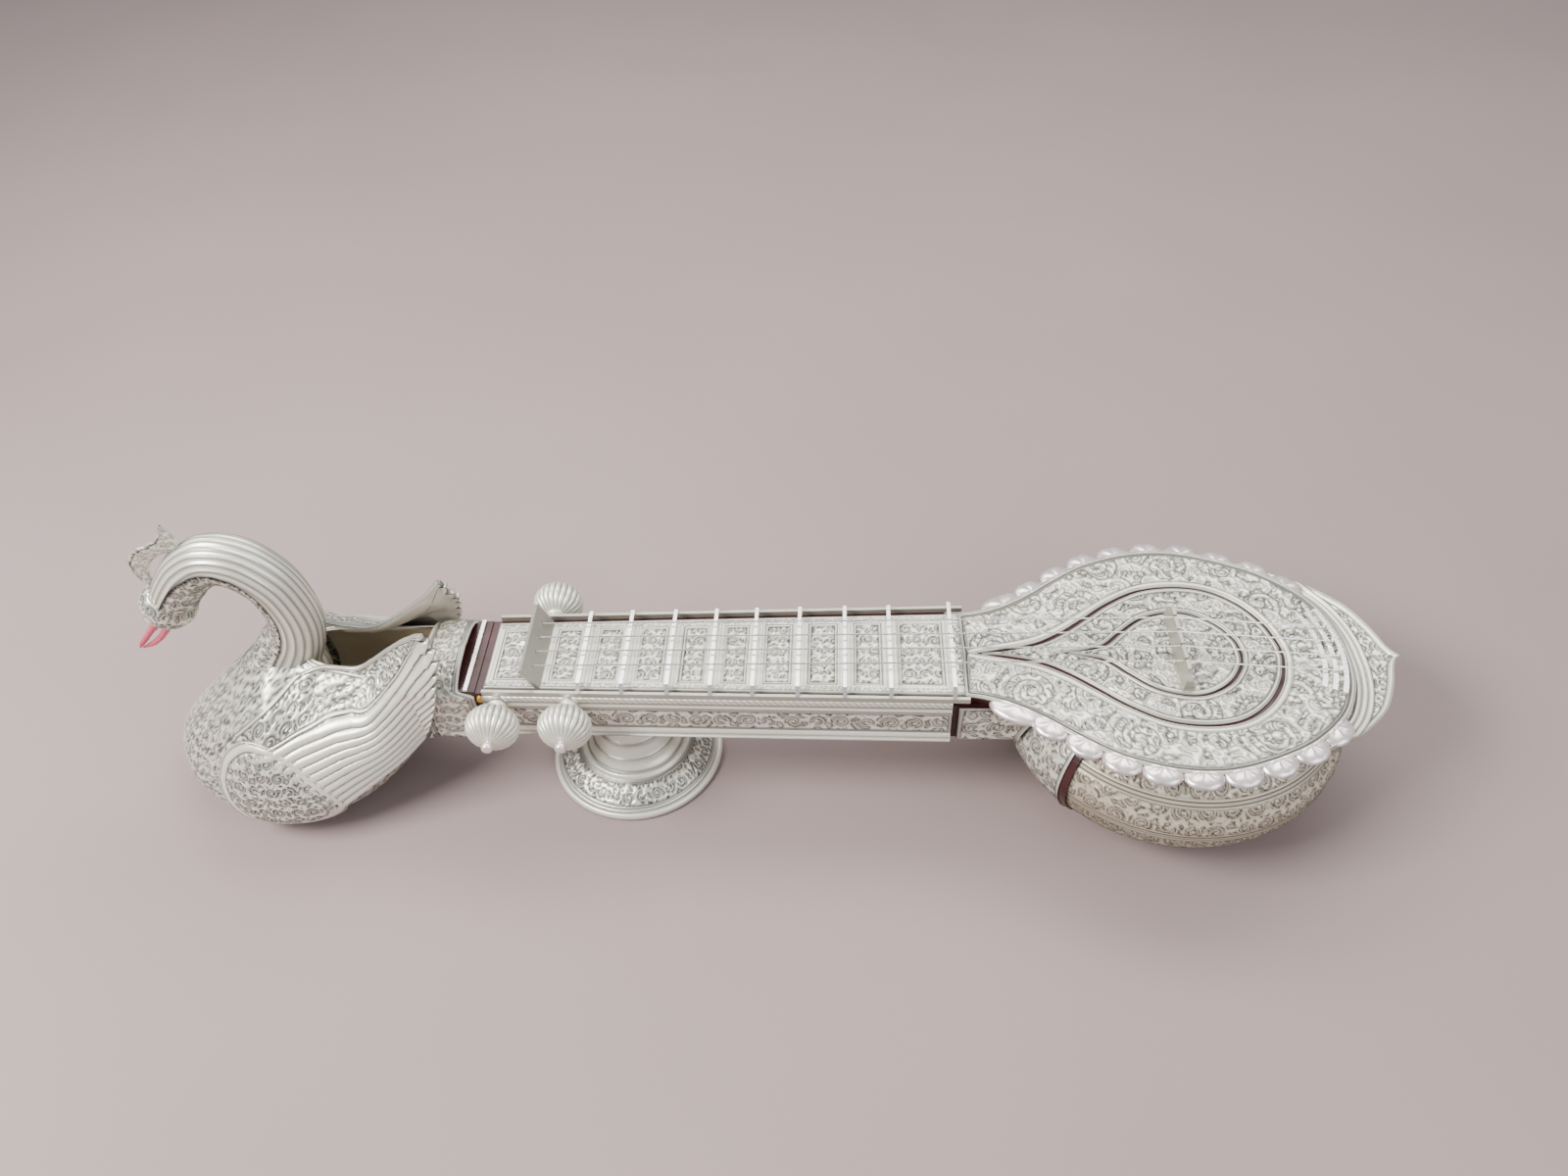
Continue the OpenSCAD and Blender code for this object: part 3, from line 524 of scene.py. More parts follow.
def neck_side(name, side, node):
    """Moulded side of the neck: roped top edge, a band of scrolls, a plain foot moulding."""
    profile = resample(SIDE, count(length(SIDE), 0.5))
    X, K = grid(np.linspace(NECK_START, NECK_END, count(NECK_END - NECK_START)), np.arange(len(profile)))
    off, z = profile[K][..., 0], profile[K][..., 1]
    P = np.dstack([X, side * (half_width(X) + CORE_GAP + off), z])
    band = np.minimum(np.minimum(z - 53.2, 67.4 - z), np.minimum(X - NECK_START, NECK_END - X))
    h, c = framed(band, *chase(X * 1.02, z - 60.3, "wide"), 1.5)
    rope, roped = wave(X + z, 3.1), z > 72.4
    moulding = (z > 67.6) | (z < 53)
    lines = 0.7 * cut(z, 71.5, 1.2) + 0.6 * cut(z, 49.9, 0.9)
    h = np.where(moulding, 0.12 * rope * roped, h)
    c = np.where(moulding, 0.35 * (1 - rope) * roped + lines, c)
    build(name, [skin(P, h, np.clip(c, 0, 1), flip=side > 0)], CHASED, [node])


fretboard()
neck_side("chased_near_side", -1, "near_side_panel")
neck_side("chased_far_side", 1, "far_side_panel")

# ---------------------------------------------------------------- bowl and heel
# Radius and height of the bowl, from its foot up.
BOWL = [[30, 0], [44, 3.5], [57, 10], [68, 19], [76, 30], [79.5, 41], [78.5, 51], [74, 61], [67, 68.5],
        [64, 71.9]]
BOWL_RIDGES = [1.2, 3.2, 13.5, 15.3, 17.1, 33.5, 35.3, 37.1, 57, 58.8, 60.6, 80]


def bowl_grid(angles, lowest, off):
    """Points, distance down from the rim and height, on the bowl's surface or off mm out from it."""
    line = resample(spline(BOWL, 8), count(length(BOWL), STEP * 1.15))
    line = line[line[:, 1] >= lowest][::-1]
    A, K = grid(angles, np.arange(len(line)))
    r, z = line[K][..., 0] + off, line[K][..., 1]
    return np.dstack([r * np.cos(A), r * np.sin(A), z]), A, run(line)[K], z


def bowl():
    """Bands of scrolls between ridges; four tiles go round, so the pattern meets itself."""
    n = count(TURN * BOWL_R, STEP * 1.15)
    P, A, s, z = bowl_grid(np.linspace(0, TURN, n)[:-1], 0, 0)
    h, c = chase(A * 4 * TILE / TURN, s + 2.5, "wide", 1.1)
    ridge = sum(bead(s, r, 1.7, 0.55) for r in BOWL_RIDGES)
    lines = sum(cut(s, r + side, 0.55) for r in BOWL_RIDGES for side in (0.95, -0.95))
    h = np.where(ridge > 0.02, ridge, h)
    c = np.clip(np.where(ridge > 0.02, 0.08, c) + 0.85 * np.clip(lines, 0, 1), 0, 1)
    off_floor = smooth(0.3, 2.5, z)
    build("chased_bowl", [skin(P, h * off_floor, c * off_floor, wrap_u=True, skirt=0.5)], WARM, ["bowl_shell"])


def heel_cup():
    """Chased cup over the end of the bowl that the neck runs into."""
    start, end = math.radians(138), math.radians(222)
    angles = np.linspace(start, end, count((end - start) * BOWL_R, STEP * 1.15))
    P, A, s, _ = bowl_grid(angles, 12, 1.2)
    dist = np.minimum(np.minimum(s, s.max() - s), BOWL_R * np.minimum(A - start, end - A))
    h, c = framed(dist, *chase(A * BOWL_R, s + 30, "wide"), 2.4)
    build("chased_heel_cup", [skin(P, h, c, skirt=1.1)], CHASED, ["heel_cup"])


def heel_sleeve():
    """Sleeve from the neck to the cup: far side, underside and near side in one strip."""
    top, bottom = 71.8, 47.8
    flank = resample([[1.0, top], [1.0, 48.6], [0.6, bottom]], count(30))
    under = [[0.0, bottom, t] for t in np.linspace(0.96, -0.96, count(55))]
    loop = np.vstack([np.c_[flank, np.full(len(flank), 1.0)], under,
                      np.c_[flank[::-1], np.full(len(flank), -1.0)]])
    T, K = grid(np.linspace(0, 1, count(34)), np.arange(len(loop)))
    off, z, side = np.moveaxis(loop[K], -1, 0)
    line = spline(BOWL, 8)
    radius = np.interp(np.maximum(z, 41), line[:, 1], line[:, 0]) + 3.2
    reach = np.sqrt(np.maximum(radius ** 2 - (side * 29) ** 2, 100))
    X = -105.8 * (1 - T) - reach * T
    Y = side * (half_width(-95) + CORE_GAP + off)
    along = run(np.c_[Y[0], z[0]])[K]
    dist = np.minimum(np.minimum(T, 1 - T) * 30, np.where(z > 60, top - z, 9))
    h, c = framed(dist, *chase(X, along + 5, "wide"), 2.0)
    build("chased_heel_sleeve", [skin(np.dstack([X, Y, z]), h, c, flip=True)], CHASED, ["heel_sleeve"])


bowl()
heel_cup()
heel_sleeve()

# ---------------------------------------------------------------- petals and tail leaf
PETAL_PITCH = 17.2
PETAL_Z = 74.3
LEAF = [[30, 60], [50, 55], [62, 49], [70, 45.5], [79, 38], [86, 30], [92, 17.5], [95.5, 7], [98, 2], [100.5, 0]]
LEAF_Z = 73.6


def petals(name, side, node):
    """Overlapping scallops along one edge of the soundboard; the first is longer."""
    path = spline(BOARD, 12)
    arc = run(path)

    def at(s):
        return np.array([np.interp(s, arc, path[:, 0]), np.interp(s, arc, path[:, 1])])

    th, rr = grid(np.linspace(0, math.pi, 26), np.linspace(0, 1, 14))
    lift = 2.6 * np.sqrt(np.clip(1 - rr ** 3.2, 0, 1)) + 0.7 * np.cos(th * 6) * rr * (1 - rr)
    dark = 0.5 * smooth(0.9, 1.0, rr) + 0.25 * np.clip(np.cos(th * 6), -1, 0) ** 2 * rr
    outward = 8.6 * np.sin(th) ** 0.75 * rr - 1.2
    sheets = []
    for k, mid in enumerate(np.arange(23.6, 180, PETAL_PITCH)):
        x, y = at(mid)
        dx, dy = unit(at(mid + 3) - at(mid - 3))
        along = (13.0 if k == 0 else 9.0) * np.cos(th) * rr
        for z in (PETAL_Z + lift, PETAL_Z - lift * 0.35):
            q = np.dstack([x + dx * along - dy * outward, side * (y + dy * along + dx * outward), z])
            upper = z[0, 0] > PETAL_Z
            sheets.append((q if upper == (side > 0) else q[::-1], dark, False, False))
    build(name, sheets, BLUSH, [node])


def tail_leaf():
    """Pointed leaf round the tail: raised folds beside the soundboard, scrolls, a thick rim."""
    outer, inner = both(LEAF), both(BOARD)
    outer, inner = outer[outer[:, 0] > 36], inner[inner[:, 0] > 36]
    n = count(length(outer))
    a, b = resample(outer, n), resample(inner, n)
    g = between(a, b, count(30))
    wide = np.linalg.norm(a - b, axis=1)[:, None]
    s = np.linspace(0, 1, g.shape[1])[None, :]
    from_rim, from_board = s * wide, (1 - s) * wide
    h, c = framed(from_rim, *chase(g[..., 0] + 20, g[..., 1] + 8, "fine", 0.9), 3.0)
    folds = sum(bead(from_board, k, 2.2, 0.9) for k in (2.2, 5.0, 7.8))
    lines = sum(cut(from_board, k, 0.8) for k in (0.7, 3.6, 6.4, 9.2))
    folded = smooth(10.0, 9.0, from_board)
    h = h * (1 - folded) + folds * folded + 0.9 * np.exp(-(from_rim / 1.6) ** 2)
    c = np.clip(c * (1 - folded) + 0.75 * lines * smooth(11, 9.5, from_board), 0, 1)
    P = np.dstack([g, LEAF_Z + h - 0.6 * smooth(0, 10, from_rim)])
    # rolled rim: three more rows outside the first, down and back under it
    q = np.pad(P, ((0, 0), (3, 0), (0, 0)), "edge")
    q[:, 2, 2] -= 0.4
    q[:, 1, 2] = LEAF_Z - 2.0
    q[:, 0, 2] = LEAF_Z - 2.2
    q[:, 0, 1] *= 0.9
    q[:, 0, 0] = 45 + (q[:, 0, 0] - 45) * 0.9
    dark = np.pad(c, ((0, 0), (3, 0)), constant_values=0.15)
    build("chased_tail_leaf", [(q, dark, False, False)], CHASED, ["tail_leaf"])


petals("near_petal_border", -1, "near_petals")
petals("far_petal_border", 1, "far_petals")
tail_leaf()

# ---------------------------------------------------------------- pegs
PEG_Z = 71.0
KNOB_OUT = 39.5  # middle of the knob, out from the neck's middle
FLUTES = 24
# Radius and distance out from the knob's middle.
FINIAL = [[3.4, 7.0], [3.9, 8.4], [2.5, 9.2], [1.6, 9.9], [2.3, 10.7], [2.75, 12.0], [2.2, 13.5], [0.05, 14.1]]
SHANK = [[2.7, -13.2], [4.2, -12.8], [4.4, -11.8], [3.4, -11.0], [4.9, -9.6], [5.2, -8.6]]


def turned(x, side, angle, radius, along, dark):
    """Round sheet about a peg's axis."""
    q = np.dstack([x + radius * np.cos(angle), side * (KNOB_OUT + along), PEG_Z + radius * np.sin(angle)])
    if side < 0:
        q, dark = q[::-1], dark[::-1]
    return q, dark, True, False


def turned_line(x, side, line):
    A, K = grid(circle(40), np.arange(len(line)))
    return turned(x, side, A, line[K][..., 0], line[K][..., 1], np.zeros(A.shape))


def peg(k, x, side):
    """Fluted knob on its shank, with a bead on the end."""
    A, latitude = grid(circle(FLUTES * (12)), np.linspace(-math.pi / 2, math.pi / 2, 60))
    flute = np.abs(np.sin(A * FLUTES / 2)) ** 0.7
    waist = np.cos(latitude)
    radius = 12.7 * waist ** 0.9 * (1 - 0.075 * (1 - flute) * waist ** 0.3)
    dark = np.clip(0.85 * (1 - flute) ** 2.2 * waist ** 0.4, 0, 1)
    knob = turned(x, side, A, radius, 9.4 * np.sin(latitude), dark)
    build(f"peg_{k}_fluted_knob", [knob, turned_line(x, side, spline(SHANK, 4))], CHASED, [f"peg_{k}_knob"],
          body=f"tuning_peg_{k}")
    build(f"peg_{k}_finial_bead", [turned_line(x, side, spline(FINIAL, 5))], BLUSH,
          body=f"tuning_peg_{k}")


peg(1, -322, -1)
peg(2, -288, -1)
peg(3, -304, 1)

# ---------------------------------------------------------------- foot
FOOT_X = -267.0
# Radius and height, from the stem down the outside and back up the inside.
BELL = [[12.2, 40.5], [13.4, 40.8], [14.2, 38], [15.2, 35], [16.6, 29], [17.4, 28.3], [18.2, 27.6],
        [18.7, 25.5], [20.8, 21], [21.8, 20.5], [22.3, 19], [22.9, 17.6], [25.4, 14.8], [26.2, 15.1],
        [27.2, 14.9], [27.9, 13.8], [28.6, 13.2], [30, 12.4], [35, 9.3], [39.6, 5.3], [41.1, 3.9],
        [41.7, 3.8], [42.8, 4.3], [43.8, 3.4], [44.1, 2.0], [43.8, 0.5], [42.6, 0.0], [40.6, 0.05],
        [33.6, 7.2], [25.5, 12.2], [20, 17.2], [15, 26], [13, 34]]
# Radius, darkness and width of the lines between the steps.
BELL_LINES = [(41.3, 0.8, 0.9), (28.7, 0.75, 0.9), (25.0, 0.7, 1.0), (21.5, 0.6, 1.0), (17.9, 0.6, 0.9)]


def foot_bell():
    """Stepped bell with one band of scrolls; two tiles go round it."""
    line = resample(spline(BELL, 6), count(length(BELL)))
    A, K = grid(circle(count(TURN * 40)), np.arange(len(line)))
    r, z = line[K][..., 0], line[K][..., 1]
    outside = K < np.argmax(line[:, 0])
    dist = np.minimum(r - 29.2, 40.2 - r)
    h, c = framed(dist, *chase(A * 2 * TILE / TURN, r * 1.15 + 1.5, "fine", 0.9), 1.2)
    band = (dist >= -0.2) & outside
    lines = sum(dark * cut(r, at, width) for at, dark, width in BELL_LINES)
    c = np.clip(c * band + np.where(outside, lines, 0.3), 0, 1)
    P = np.dstack([FOOT_X + r * np.cos(A), r * np.sin(A), z])
    sheet = skin(P, h * band, c, wrap_u=True, flip=True, skirt=0.3)
    build("chased_foot_bell", [sheet], CHASED, ["foot_bell"])


foot_bell()

# ---------------------------------------------------------------- socket collar
# Place along the instrument, and height of the moulding there.
COLLAR = [[-361, -1.5], [-360.4, -0.3], [-358, 0.4], [-352, 0.9], [-346, 0.8], [-342.6, 0.5], [-341.4, 0.1],
          [-341, -0.9]]
# Arched cross-section, from the foot of one side to the middle.
ARCH = [[24.0, 45.2], [24.2, 47], [24.2, 70], [23.8, 73.6], [22.6, 76.4], [19, 79.4], [12, 81.9], [0, 83.2]]


def socket_collar():
    """Arched chased drum between swan and neck, its sides reaching further towards the neck."""
    line = resample(spline(COLLAR, 6), count(28, STEP * 0.8))
    half = resample(spline(ARCH, 8), count(length(ARCH)))
    arch = np.vstack([half, (half[::-1] * [-1, 1])[1:]])
    tangent = unit(np.gradient(arch, axis=0))
    I, K = grid(np.arange(len(line)), np.arange(len(arch)))
    X, lift = line[I][..., 0], line[I][..., 1]
    y = arch[K][..., 0] + tangent[K][..., 1] * lift
    z = arch[K][..., 1] - tangent[K][..., 0] * lift
    h, c = chase(X + 2, run(arch)[K], "fine")
    h, c = framed(np.minimum(X + 358.6, -342.4 - X), h, 0.8 * c, 1.2)
    lip = (X < -358.8) | (X > -342.2)
    h, c = np.where(lip, 0, h), np.where(lip, 0.7 * cut(X, -342.0, 0.8), c)
    X = X + 7.4 * smooth(-354, -342, X) * smooth(76.5, 73.0, z)
    sheet = skin(np.dstack([X, y, z]), h, c, flip=True, skirt=2.0)
    build("chased_socket_collar", [sheet], CHASED, ["socket_collar"])


socket_collar()

# ---------------------------------------------------------------- swan's body
# Place along, bottom, half width, height of the widest line, rim height, half width of the mouth.
BODY = np.array([[-503, 11, 6, 18, 26, 0], [-498, 4, 18, 18, 33, 0], [-486, -1, 33, 18, 45, 0],
                 [-466, -4, 46, 20, 63, 0], [-446, -4, 52, 21, 80, 0], [-428, -4, 53, 22, 88, 0],
                 [-411, -2, 50, 25, 84, 11], [-395, 6, 44, 31, 86, 14], [-380, 19, 36, 41, 88, 16],
                 [-369, 32, 29, 51, 92, 18], [-362, 41, 25, 60, 96, 19]], float)
# Rim of the open back, which the wings rise above.
RIM_X, RIM_Z = [-411, -395, -380, -362], [84, 81.5, 79, 77]
AROUND = np.radians(np.linspace(-90, 90, count(95)))
WIDEST = len(AROUND) // 2


def fullness(x):
    """Power that shapes the body's upper half: rounder at the breast, straighter behind the neck."""
    return 0.55 + 0.33 * smooth(-434, -416, x)


def body_sheet(rows, inset, side):
    """One side of the body, inset mm inside its surface."""
    x, bottom, w, zw, rim, mouth = [rows[:, k][:, None] for k in range(6)]
    A = np.broadcast_to(AROUND, (len(rows), len(AROUND)))
    level = np.clip(np.cos(A), 0, 1)
    half, mouth_in = w - inset, np.maximum(mouth - inset, 0)
    y = np.where(A < 0, half * level ** 0.8, mouth_in + (half - mouth_in) * level ** (2 * fullness(x)))
    depth = np.where(A < 0, zw - bottom - inset, rim - zw - inset * (mouth <= 0))
    return np.dstack([np.broadcast_to(x, A.shape), side * y, np.maximum(zw + depth * np.sin(A), inset)])


def swan_body():
    """Chased body and its lining, seen through the open back."""
    rows = spline(BODY, 14)
    rows[:, 5] = np.maximum(rows[:, 5], 0)
    rows[:, 4] = np.where(rows[:, 0] > RIM_X[0], np.interp(rows[:, 0], RIM_X, RIM_Z), rows[:, 4])
    open_rows = rows[rows[:, 0] > -440]
    outside, lining = [], []
    for side in (-1, 1):
        P = body_sheet(rows, 0, side)
        up = run_across(P)
        up -= up[:, WIDEST:WIDEST + 1]
        h, c = chase(run(P[:, WIDEST])[:, None], up + 67, "fine")
        from_rim = np.where(rows[:, 5:6] > 0, np.linalg.norm(P - P[:, -1:, :], axis=2), 9)
        h, c = framed(from_rim, h, c, 2.6)
        off_floor = smooth(0.5, 4, P[..., 2])
        outside.append(skin(P, h * off_floor, c * off_floor, flip=side > 0, skirt=0.6))
        lining.append(plain(body_sheet(open_rows, 1.2, side), turned_over=side > 0))
    build("chased_swan_body", outside, CHASED, ["swan_body"])
    build("swan_body_lining", lining, LINING_PAINTED_LIGHT)


swan_body()

# ---------------------------------------------------------------- swan's neck and head
# Middle of the neck, x and z, then half its depth and half its width, from the body up.
NECK = [[-438, 58, 24, 27], [-432, 70, 20, 20.5], [-427.2, 82, 16, 14.6], [-420.5, 93, 13.4, 12.6],
        [-417.3, 104, 12.6, 11.8], [-417.6, 116, 12.4, 11.6], [-421.5, 129, 12.4, 11.6],
        [-431, 139.6, 12.4, 11.6], [-443, 142.6, 12, 11.4], [-454, 137, 11.6, 11.2], [-462.5, 128.5, 11.2, 11],
        [-469.5, 119.5, 10.6, 10.6], [-472.5, 115, 9, 9]]
RIB_DEGREES = 17.0


def tube(line, angle):
    """Round sheet about a line in the middle plane: x, z, half depth and half width at each point."""
    d = unit(np.gradient(line[:, :2], axis=0))[:, None, :]
    depth = line[:, 2][:, None] * np.cos(angle)
    return np.dstack([line[:, 0][:, None] + d[..., 1] * depth, line[:, 3][:, None] * np.sin(angle),
                      line[:, 1][:, None] - d[..., 0] * depth])


def swan_neck():
    """Ribs run down the neck's back, with scrolls on its inner side."""
    line = spline(NECK, 14)
    line = resample(line, count(length(line[:, :2])))
    T, along = np.meshgrid(circle(count(TURN * 12.5)), run(line[:, :2]))
    from_back = np.abs((T + math.pi) % TURN - math.pi)
    ribs = wave(np.degrees(from_back), RIB_DEGREES)
    divide = np.interp(along, [0, 50, 75, 110, 140, 175], [1.7, 1.9, 1.85, 1.5, 1.3, 1.15])
    ribbed = smooth(0.04, -0.04, from_back - divide)
    edge_line = cut(from_back, divide, 0.14)
    h, c = chase(along + 3, T * 12.2, "fine")
    rib_height = (0.72 * ribs ** 0.6 - 0.2) * (0.35 + 0.65 * smooth(150, 138, along))
    h = h * (1 - ribbed) + rib_height * ribbed - 0.3 * edge_line
    c = np.clip(c * (1 - ribbed) + 0.66 * (1 - ribs) ** 2.4 * ribbed + 0.8 * edge_line, 0, 1)
    build("ribbed_swan_neck", [skin(tube(line, T), h, c, wrap_v=True, skirt=0.2)], CHASED, ["swan_neck"])


def swan_head():
    """Chased egg leaning forward, with a ring for the eye."""
    A, latitude = grid(circle(120), np.linspace(-math.pi / 2, math.pi / 2, 70))
    up = 13.9 * np.sin(latitude)
    wide = np.cos(latitude) * (1 - 0.22 * smooth(0, -14, up))
    ahead = 12.6 * wide * np.cos(A)
    lean = math.radians(28)
    X = -475 + ahead * math.cos(lean) + up * math.sin(lean)
    Z = 113.2 - ahead * math.sin(lean) + up * math.cos(lean)
    h, c = chase(A * 12, latitude * 13 + 3, "fine", 0.9)
    from_eye = np.hypot(X + 480.5, Z - 113.5)
    h = np.where(from_eye < 3.6, bead(from_eye, 0.0, 3.8, 0.5), h)
    c = np.where(from_eye < 3.6, 0.8 * cut(from_eye, 2.5, 0.9), c)
    P = np.dstack([X, 12.0 * wide * np.sin(A), Z])
    build("chased_swan_head", [skin(P, h * np.cos(latitude) ** 0.5, c, wrap_u=True, skirt=0.1)], CHASED,
          ["swan_head"])


CREST_OUTER = [[-478.2, 126.2], [-481.2, 132.0], [-482.0, 138], [-480.2, 143.6], [-475.4, 148.4],
               [-468.6, 151.4], [-462.6, 155.4], [-459.6, 159.6], [-458.4, 163.2]]
CREST_INNER = [[-476.6, 127.2], [-475.6, 130.6], [-475.0, 134.6], [-472.6, 139.6], [-467, 144.6],
               [-460.5, 147.4], [-455.6, 149.8], [-454.2, 155.4], [-457.6, 163.0]]


def swan_crest():
    """Thin plate standing in the middle plane, puffed between its edges and lobed along the outer one."""
    thick, lobe, rows = 2.6, 0.9, 20
    n = count(length(CREST_OUTER), STEP * 0.5)
    a, b = resample(spline(CREST_OUTER, 10), n), resample(spline(CREST_INNER, 10), n)
    ends = np.sin(np.linspace(0, math.pi, n)) ** 0.3
    lobes = np.abs(np.sin(np.linspace(0, length(a), n) * math.pi / 6.2)) ** 0.6
    a = a + unit(a - b) * (lobes * lobe * ends)[:, None]
    g = between(a, b, rows)
    s = np.linspace(0, 1, rows)[None, :]
    puff = (4 * s * (1 - s)) ** 0.4 * ends[:, None]
    h, c = chase(g[..., 0] * 1.3, g[..., 1] * 1.3, "fine", 0.6, 0.9)
    c = np.clip(0.7 * c + 0.7 * cut(s, 0.14, 0.08), 0, 1)
    out = thick * 0.5 * (0.25 + 0.75 * puff) + h * puff
    near, far = [np.dstack([g[..., 0], side * out, g[..., 1]]) for side in (-1, 1)]
    edges = [np.stack([near[:, e], far[:, e]], 1) for e in (0, -1)]
    build("lobed_swan_crest", [(near[::-1], c, False, False), (far, c, False, False),
                               plain(edges[0], 0.1), plain(edges[1], 0.1, turned_over=True)],
          CHASED, ["swan_crest"])


# Middle of each half of the beak, x and z, then its size across and in depth.
BEAK_UPPER = [[-482, 105.2, 3.8, 3.8], [-486.2, 101.0, 3.2, 3.2], [-491.2, 95.8, 2.6, 2.3],
              [-496.4, 90.0, 2.2, 1.9], [-500.2, 85.8, 1.7, 1.6], [-502.4, 82.9, 0.4, 0.4]]
BEAK_LOWER = [[-479.2, 102.2, 3.6, 3.6], [-483.6, 96.2, 2.8, 2.4], [-488.8, 90.4, 2.3, 1.9],
              [-494.6, 86.0, 1.9, 1.6], [-500.6, 83.0, 0.5, 0.5]]


def swan_beak():
    """Two tapering halves with a gap between them."""
    sheets = []
    for rows in (BEAK_UPPER, BEAK_LOWER):
        line = spline(rows, 8)
        line = np.c_[line[:, :2], 0.8 * line[:, 3], 0.7 * line[:, 2]]
        sheets.append(plain(tube(line, circle(24)[None, :]), wrap_v=True))
    build("open_swan_beak", sheets, PINK, ["swan_beak"])


swan_neck()
swan_head()
swan_crest()
swan_beak()

# ---------------------------------------------------------------- wings
# Upper edge of a wing: along the instrument, out from the middle, height.
EDGE = np.array([[-418, 13, 83], [-411, 12.6, 84], [-392, 12.6, 82.8], [-383, 11.5, 87], [-375, 10.5, 92.6],
                 [-365, 10.5, 99.8], [-357, 12, 105], [-351, 16.2, 110]])
# Lines along a wing, x and z, from its lowest feather up to its upper edge.
WING = [[[-416, 14], [-403, 23], [-388, 32], [-374, 40], [-360, 52]],
        [[-424, 27], [-410, 34], [-390, 45], [-371, 55], [-353, 68]],
        [[-432, 40], [-418, 47], [-396, 57], [-373, 69], [-348.5, 83]],
        [[-440, 53], [-428, 60], [-405, 70], [-375, 81], [-345.5, 97]],
        [[-448, 62], [-430, 75], [-411, 84], [-392, 82.8], [-383, 87], [-375, 92.6], [-365, 99.8],
         [-357, 105], [-350, 110.8]]]
MEDALLION = [[-462, 41], [-456, 53], [-443, 62], [-428, 60], [-414, 46], [-402.5, 24], [-414, 12.5],
             [-434, 9], [-452, 15], [-461, 27]]
MEDALLION_MIDDLE = np.array([-434, 35])
FEATHERS = 10


def body_y(x, z):
    """How far the body's side is out from the middle."""
    rows = spline(BODY, 20)
    bottom, w, zw, rim, mouth = [np.interp(np.minimum(x, -362), rows[:, 0], rows[:, k]) for k in range(1, 6)]
    above = np.clip((z - zw) / (rim - zw), 0, 1)
    below = np.clip((zw - z) / (zw - bottom), 0, 1)
    upper = mouth + (w - mouth) * (1 - above * above) ** fullness(x)
    return np.where(z > zw, upper, w * (1 - below * below) ** 0.4)


def wing_y(x, z):
    """How far a wing is out: on the body, clear of the collar, and in to the upper edge's line."""
    clear = 24.6 - np.maximum(0, z - 80) * 0.27
    past_body = smooth(-396, -366, x)
    y = np.maximum(body_y(x, z), 14.5 * (1 - past_body) + clear * past_body) + 1.1
    edge_y, edge_z = [np.interp(x, EDGE[:, 0], EDGE[:, k]) for k in (1, 2)]
    near_edge = smooth(edge_z - 22, edge_z, z) * smooth(-418, -404, x)
    return y * (1 - near_edge) + edge_y * near_edge


def wing(name, side, node, lining):
    """Ten feathers below a leaf-shaped chased field, with a plain back."""
    nu, nv = count(112), count(95, STEP * 0.8)
    lines = np.stack([resample(spline(r, 12), nu) for r in WING])
    g = np.stack([resample(spline(lines[:, j], 12), nv) for j in range(nu)])
    u, v = grid(np.linspace(0, 1, nu), np.linspace(0, 1, nv))
    split = 1 - 0.34 * np.sin(math.pi * np.clip(0.14 + 0.84 * u, 0, 1)) ** 0.9
    number = v / split * FEATHERS
    feather = v < split
    quill = np.abs(np.sin(math.pi * number))
    # the feathers' tips make the rear edge jagged
    tips = np.where(feather, 0.045 * (1 - quill ** 0.8), 0.012) * smooth(0.6, 1.0, u)
    at = np.clip(u - tips, 0, 1)
    X, Z = [np.stack([np.interp(at[:, j], u[:, j], g[:, j, k]) for j in range(nv)], 1) for k in (0, 1)]
    Y = wing_y(X, Z)
    P = np.dstack([X, side * Y, Z])
    up = run_across(P)
    hs, cs = chase(X + 3, up, "fine", 0.9)
    field_edge = np.maximum(np.minimum(v - split, 1 - v) * up[nu // 2].max(), 0)
    hs, cs = framed(field_edge, hs, cs, 2.0)
    hf = 0.9 + 1.15 * quill ** 0.55 - 0.35 * (number % 1.0)
    h = np.where(feather, hf, 1.2 + hs) + 0.9 * smooth(0.5, 1, u) + 0.8
    c = np.clip(np.where(feather, 0.75 * (1 - quill) ** 3.0, cs), 0, 1)
    build(name, [skin(P, h, c, flip=side > 0, skirt=0.0, out=(0, side, 0))], CHASED, [node])
    build(lining, [plain(np.dstack([X, side * (Y - 0.4), Z]), 0.1, turned_over=side > 0)], WING_BACK)


def medallion(name, side):
    """Oval chased field where the wing starts on the breast."""
    rim = resample(spline(MEDALLION + MEDALLION[:1], 12), count(190))[:-1, None, :]
    s = np.linspace(0.02, 1, count(30))[None, :, None]
    g = MEDALLION_MIDDLE + (rim - MEDALLION_MIDDLE) * s
    X, Z = g[..., 0], g[..., 1]
    dist = np.linalg.norm(g - rim, axis=2)
    h, c = framed(dist, *chase(X + 1, Z + 3, "fine", 1.1), 4.4)
    P = np.dstack([X, side * (wing_y(X, Z) + 2.6), Z])
    build(name, [skin(P, h + 0.8 * smooth(0, 14, dist), c, wrap_u=True, flip=side > 0, skirt=3.0)], CHASED)


wing("near_feathered_wing", -1, "near_wing", "near_wing_inside")
wing("far_feathered_wing", 1, "far_wing", "far_wing_inside")
medallion("near_wing_medallion", -1)
medallion("far_wing_medallion", 1)

# ---------------------------------------------------------------- stage, lights, camera: in metres


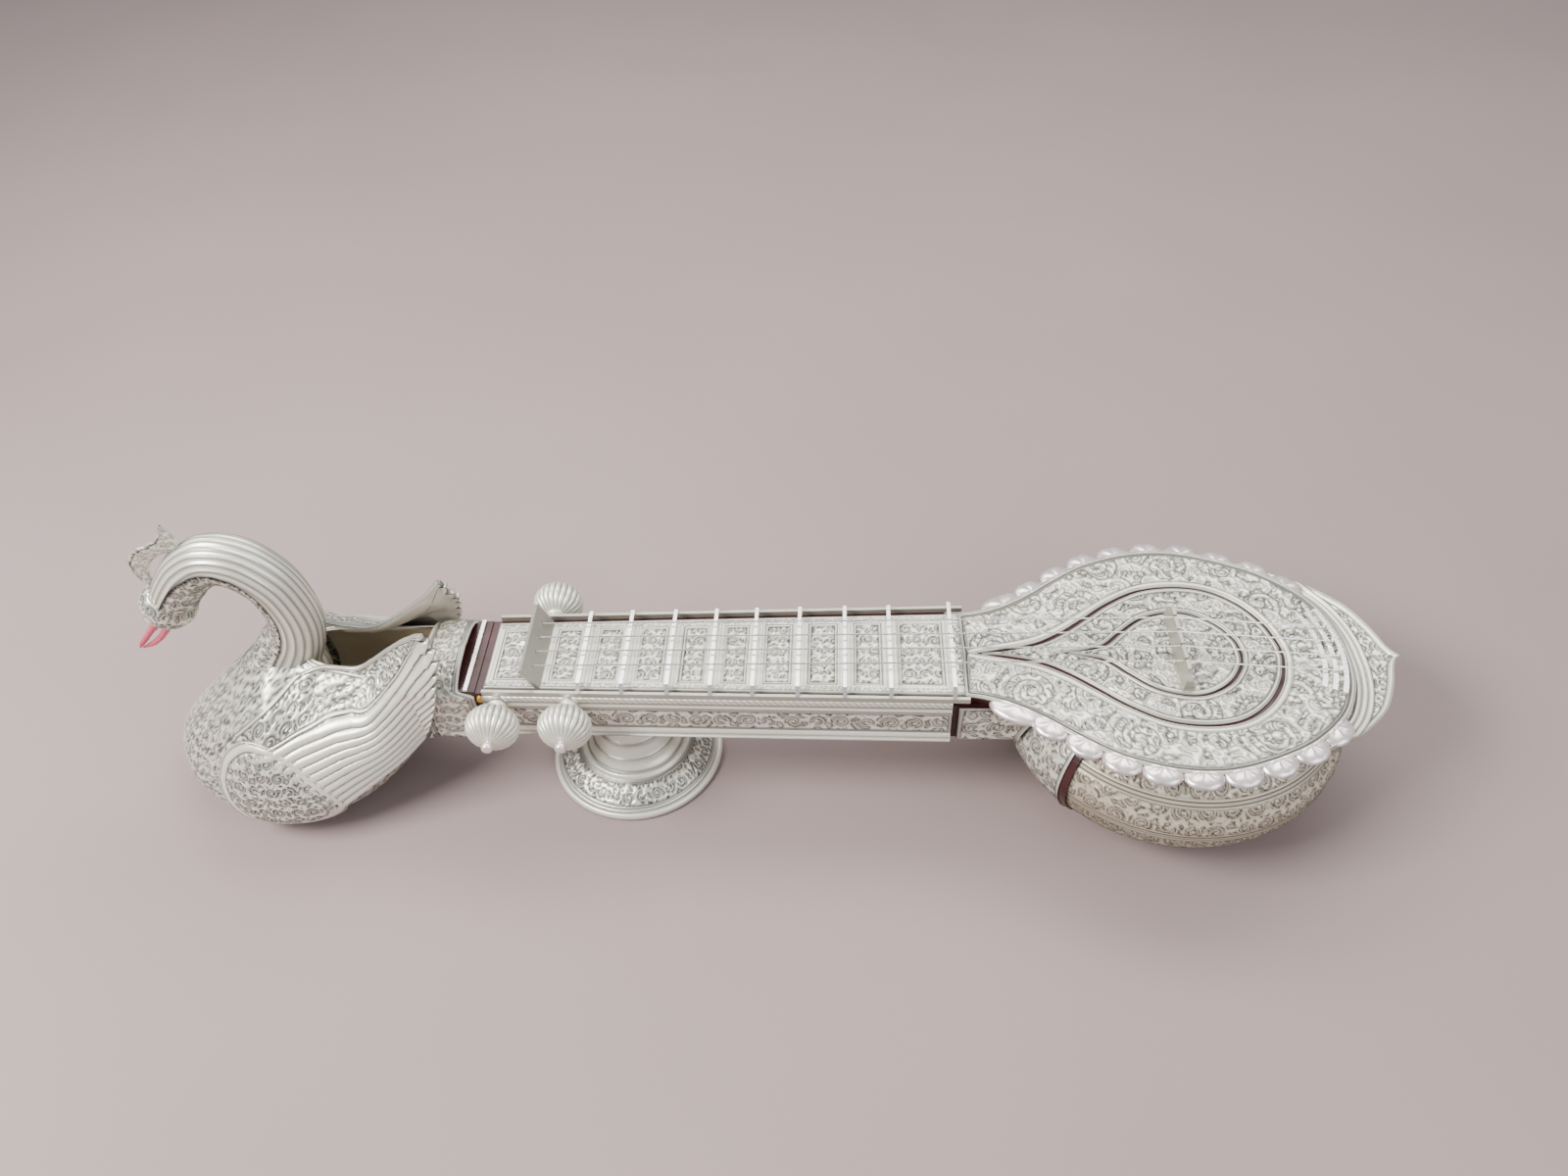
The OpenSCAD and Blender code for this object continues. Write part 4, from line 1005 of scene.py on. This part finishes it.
def stage_floor():
    me = bpy.data.meshes.new("floor")
    me.from_pydata([(-4, -4, 0), (4, -4, 0), (4, 4, 0), (-4, 4, 0)], [], [(0, 1, 2, 3)])
    floor = bpy.data.objects.new("floor", me)
    bpy.context.scene.collection.objects.link(floor)
    m = bpy.data.materials.new("floor")
    t, p = nodes_of(m)
    tone = ramp(t, noise(t, 3, 2), (0.3, (0.345, 0.280, 0.270)), (0.7, (0.37, 0.30, 0.29)))
    t.links.new(tone, p.inputs["Base Color"])
    p.inputs["Roughness"].default_value = 0.9
    me.materials.append(m)


def area(name, at, size, power, colour):
    """Rectangular light at a place, facing the middle of the instrument."""
    d = bpy.data.lights.new(name, "AREA")
    d.shape = "RECTANGLE"
    d.size, d.size_y = size
    d.energy = power
    d.color = colour
    o = bpy.data.objects.new(name, d)
    o.location = at
    o.rotation_euler = (Vector((-0.2, 0, 0.05)) - Vector(at)).to_track_quat("-Z", "Y").to_euler()
    bpy.context.scene.collection.objects.link(o)


def studio():
    world = bpy.data.worlds.new("studio")
    bpy.context.scene.world = world
    world.use_nodes = True
    sky = world.node_tree.nodes["Background"]
    sky.inputs[0].default_value = (0.93, 0.95, 1.0, 1)
    sky.inputs[1].default_value = 0.48
    area("key", (-0.95, -0.35, 0.95), (0.6, 0.4), 18, (1.0, 0.98, 0.95))
    area("fill", (0.9, -0.8, 0.9), (1.2, 0.8), 7, (0.95, 0.97, 1.0))
    area("top", (-0.1, 0.65, 1.2), (1.6, 0.5), 12, (1.0, 0.97, 0.94))


def camera():
    """Camera above the near side, looking down at the instrument as in the photograph."""
    cam = bpy.data.cameras.new("camera")
    cam.sensor_width = 36
    cam.lens = 27
    o = bpy.data.objects.new("camera", cam)
    bpy.context.scene.collection.objects.link(o)
    axes = Matrix(((0.99854, 0.00606, 0.05363), (0.03321, 0.71425, -0.6991), (-0.04254, 0.69986, 0.71301)))
    o.matrix_world = Matrix.Translation((-0.157, -0.3708, 0.500)) @ axes.to_4x4()
    bpy.context.scene.camera = o


stage_floor()
studio()
camera()
bpy.context.scene.view_settings.look = "AgX - Medium High Contrast"
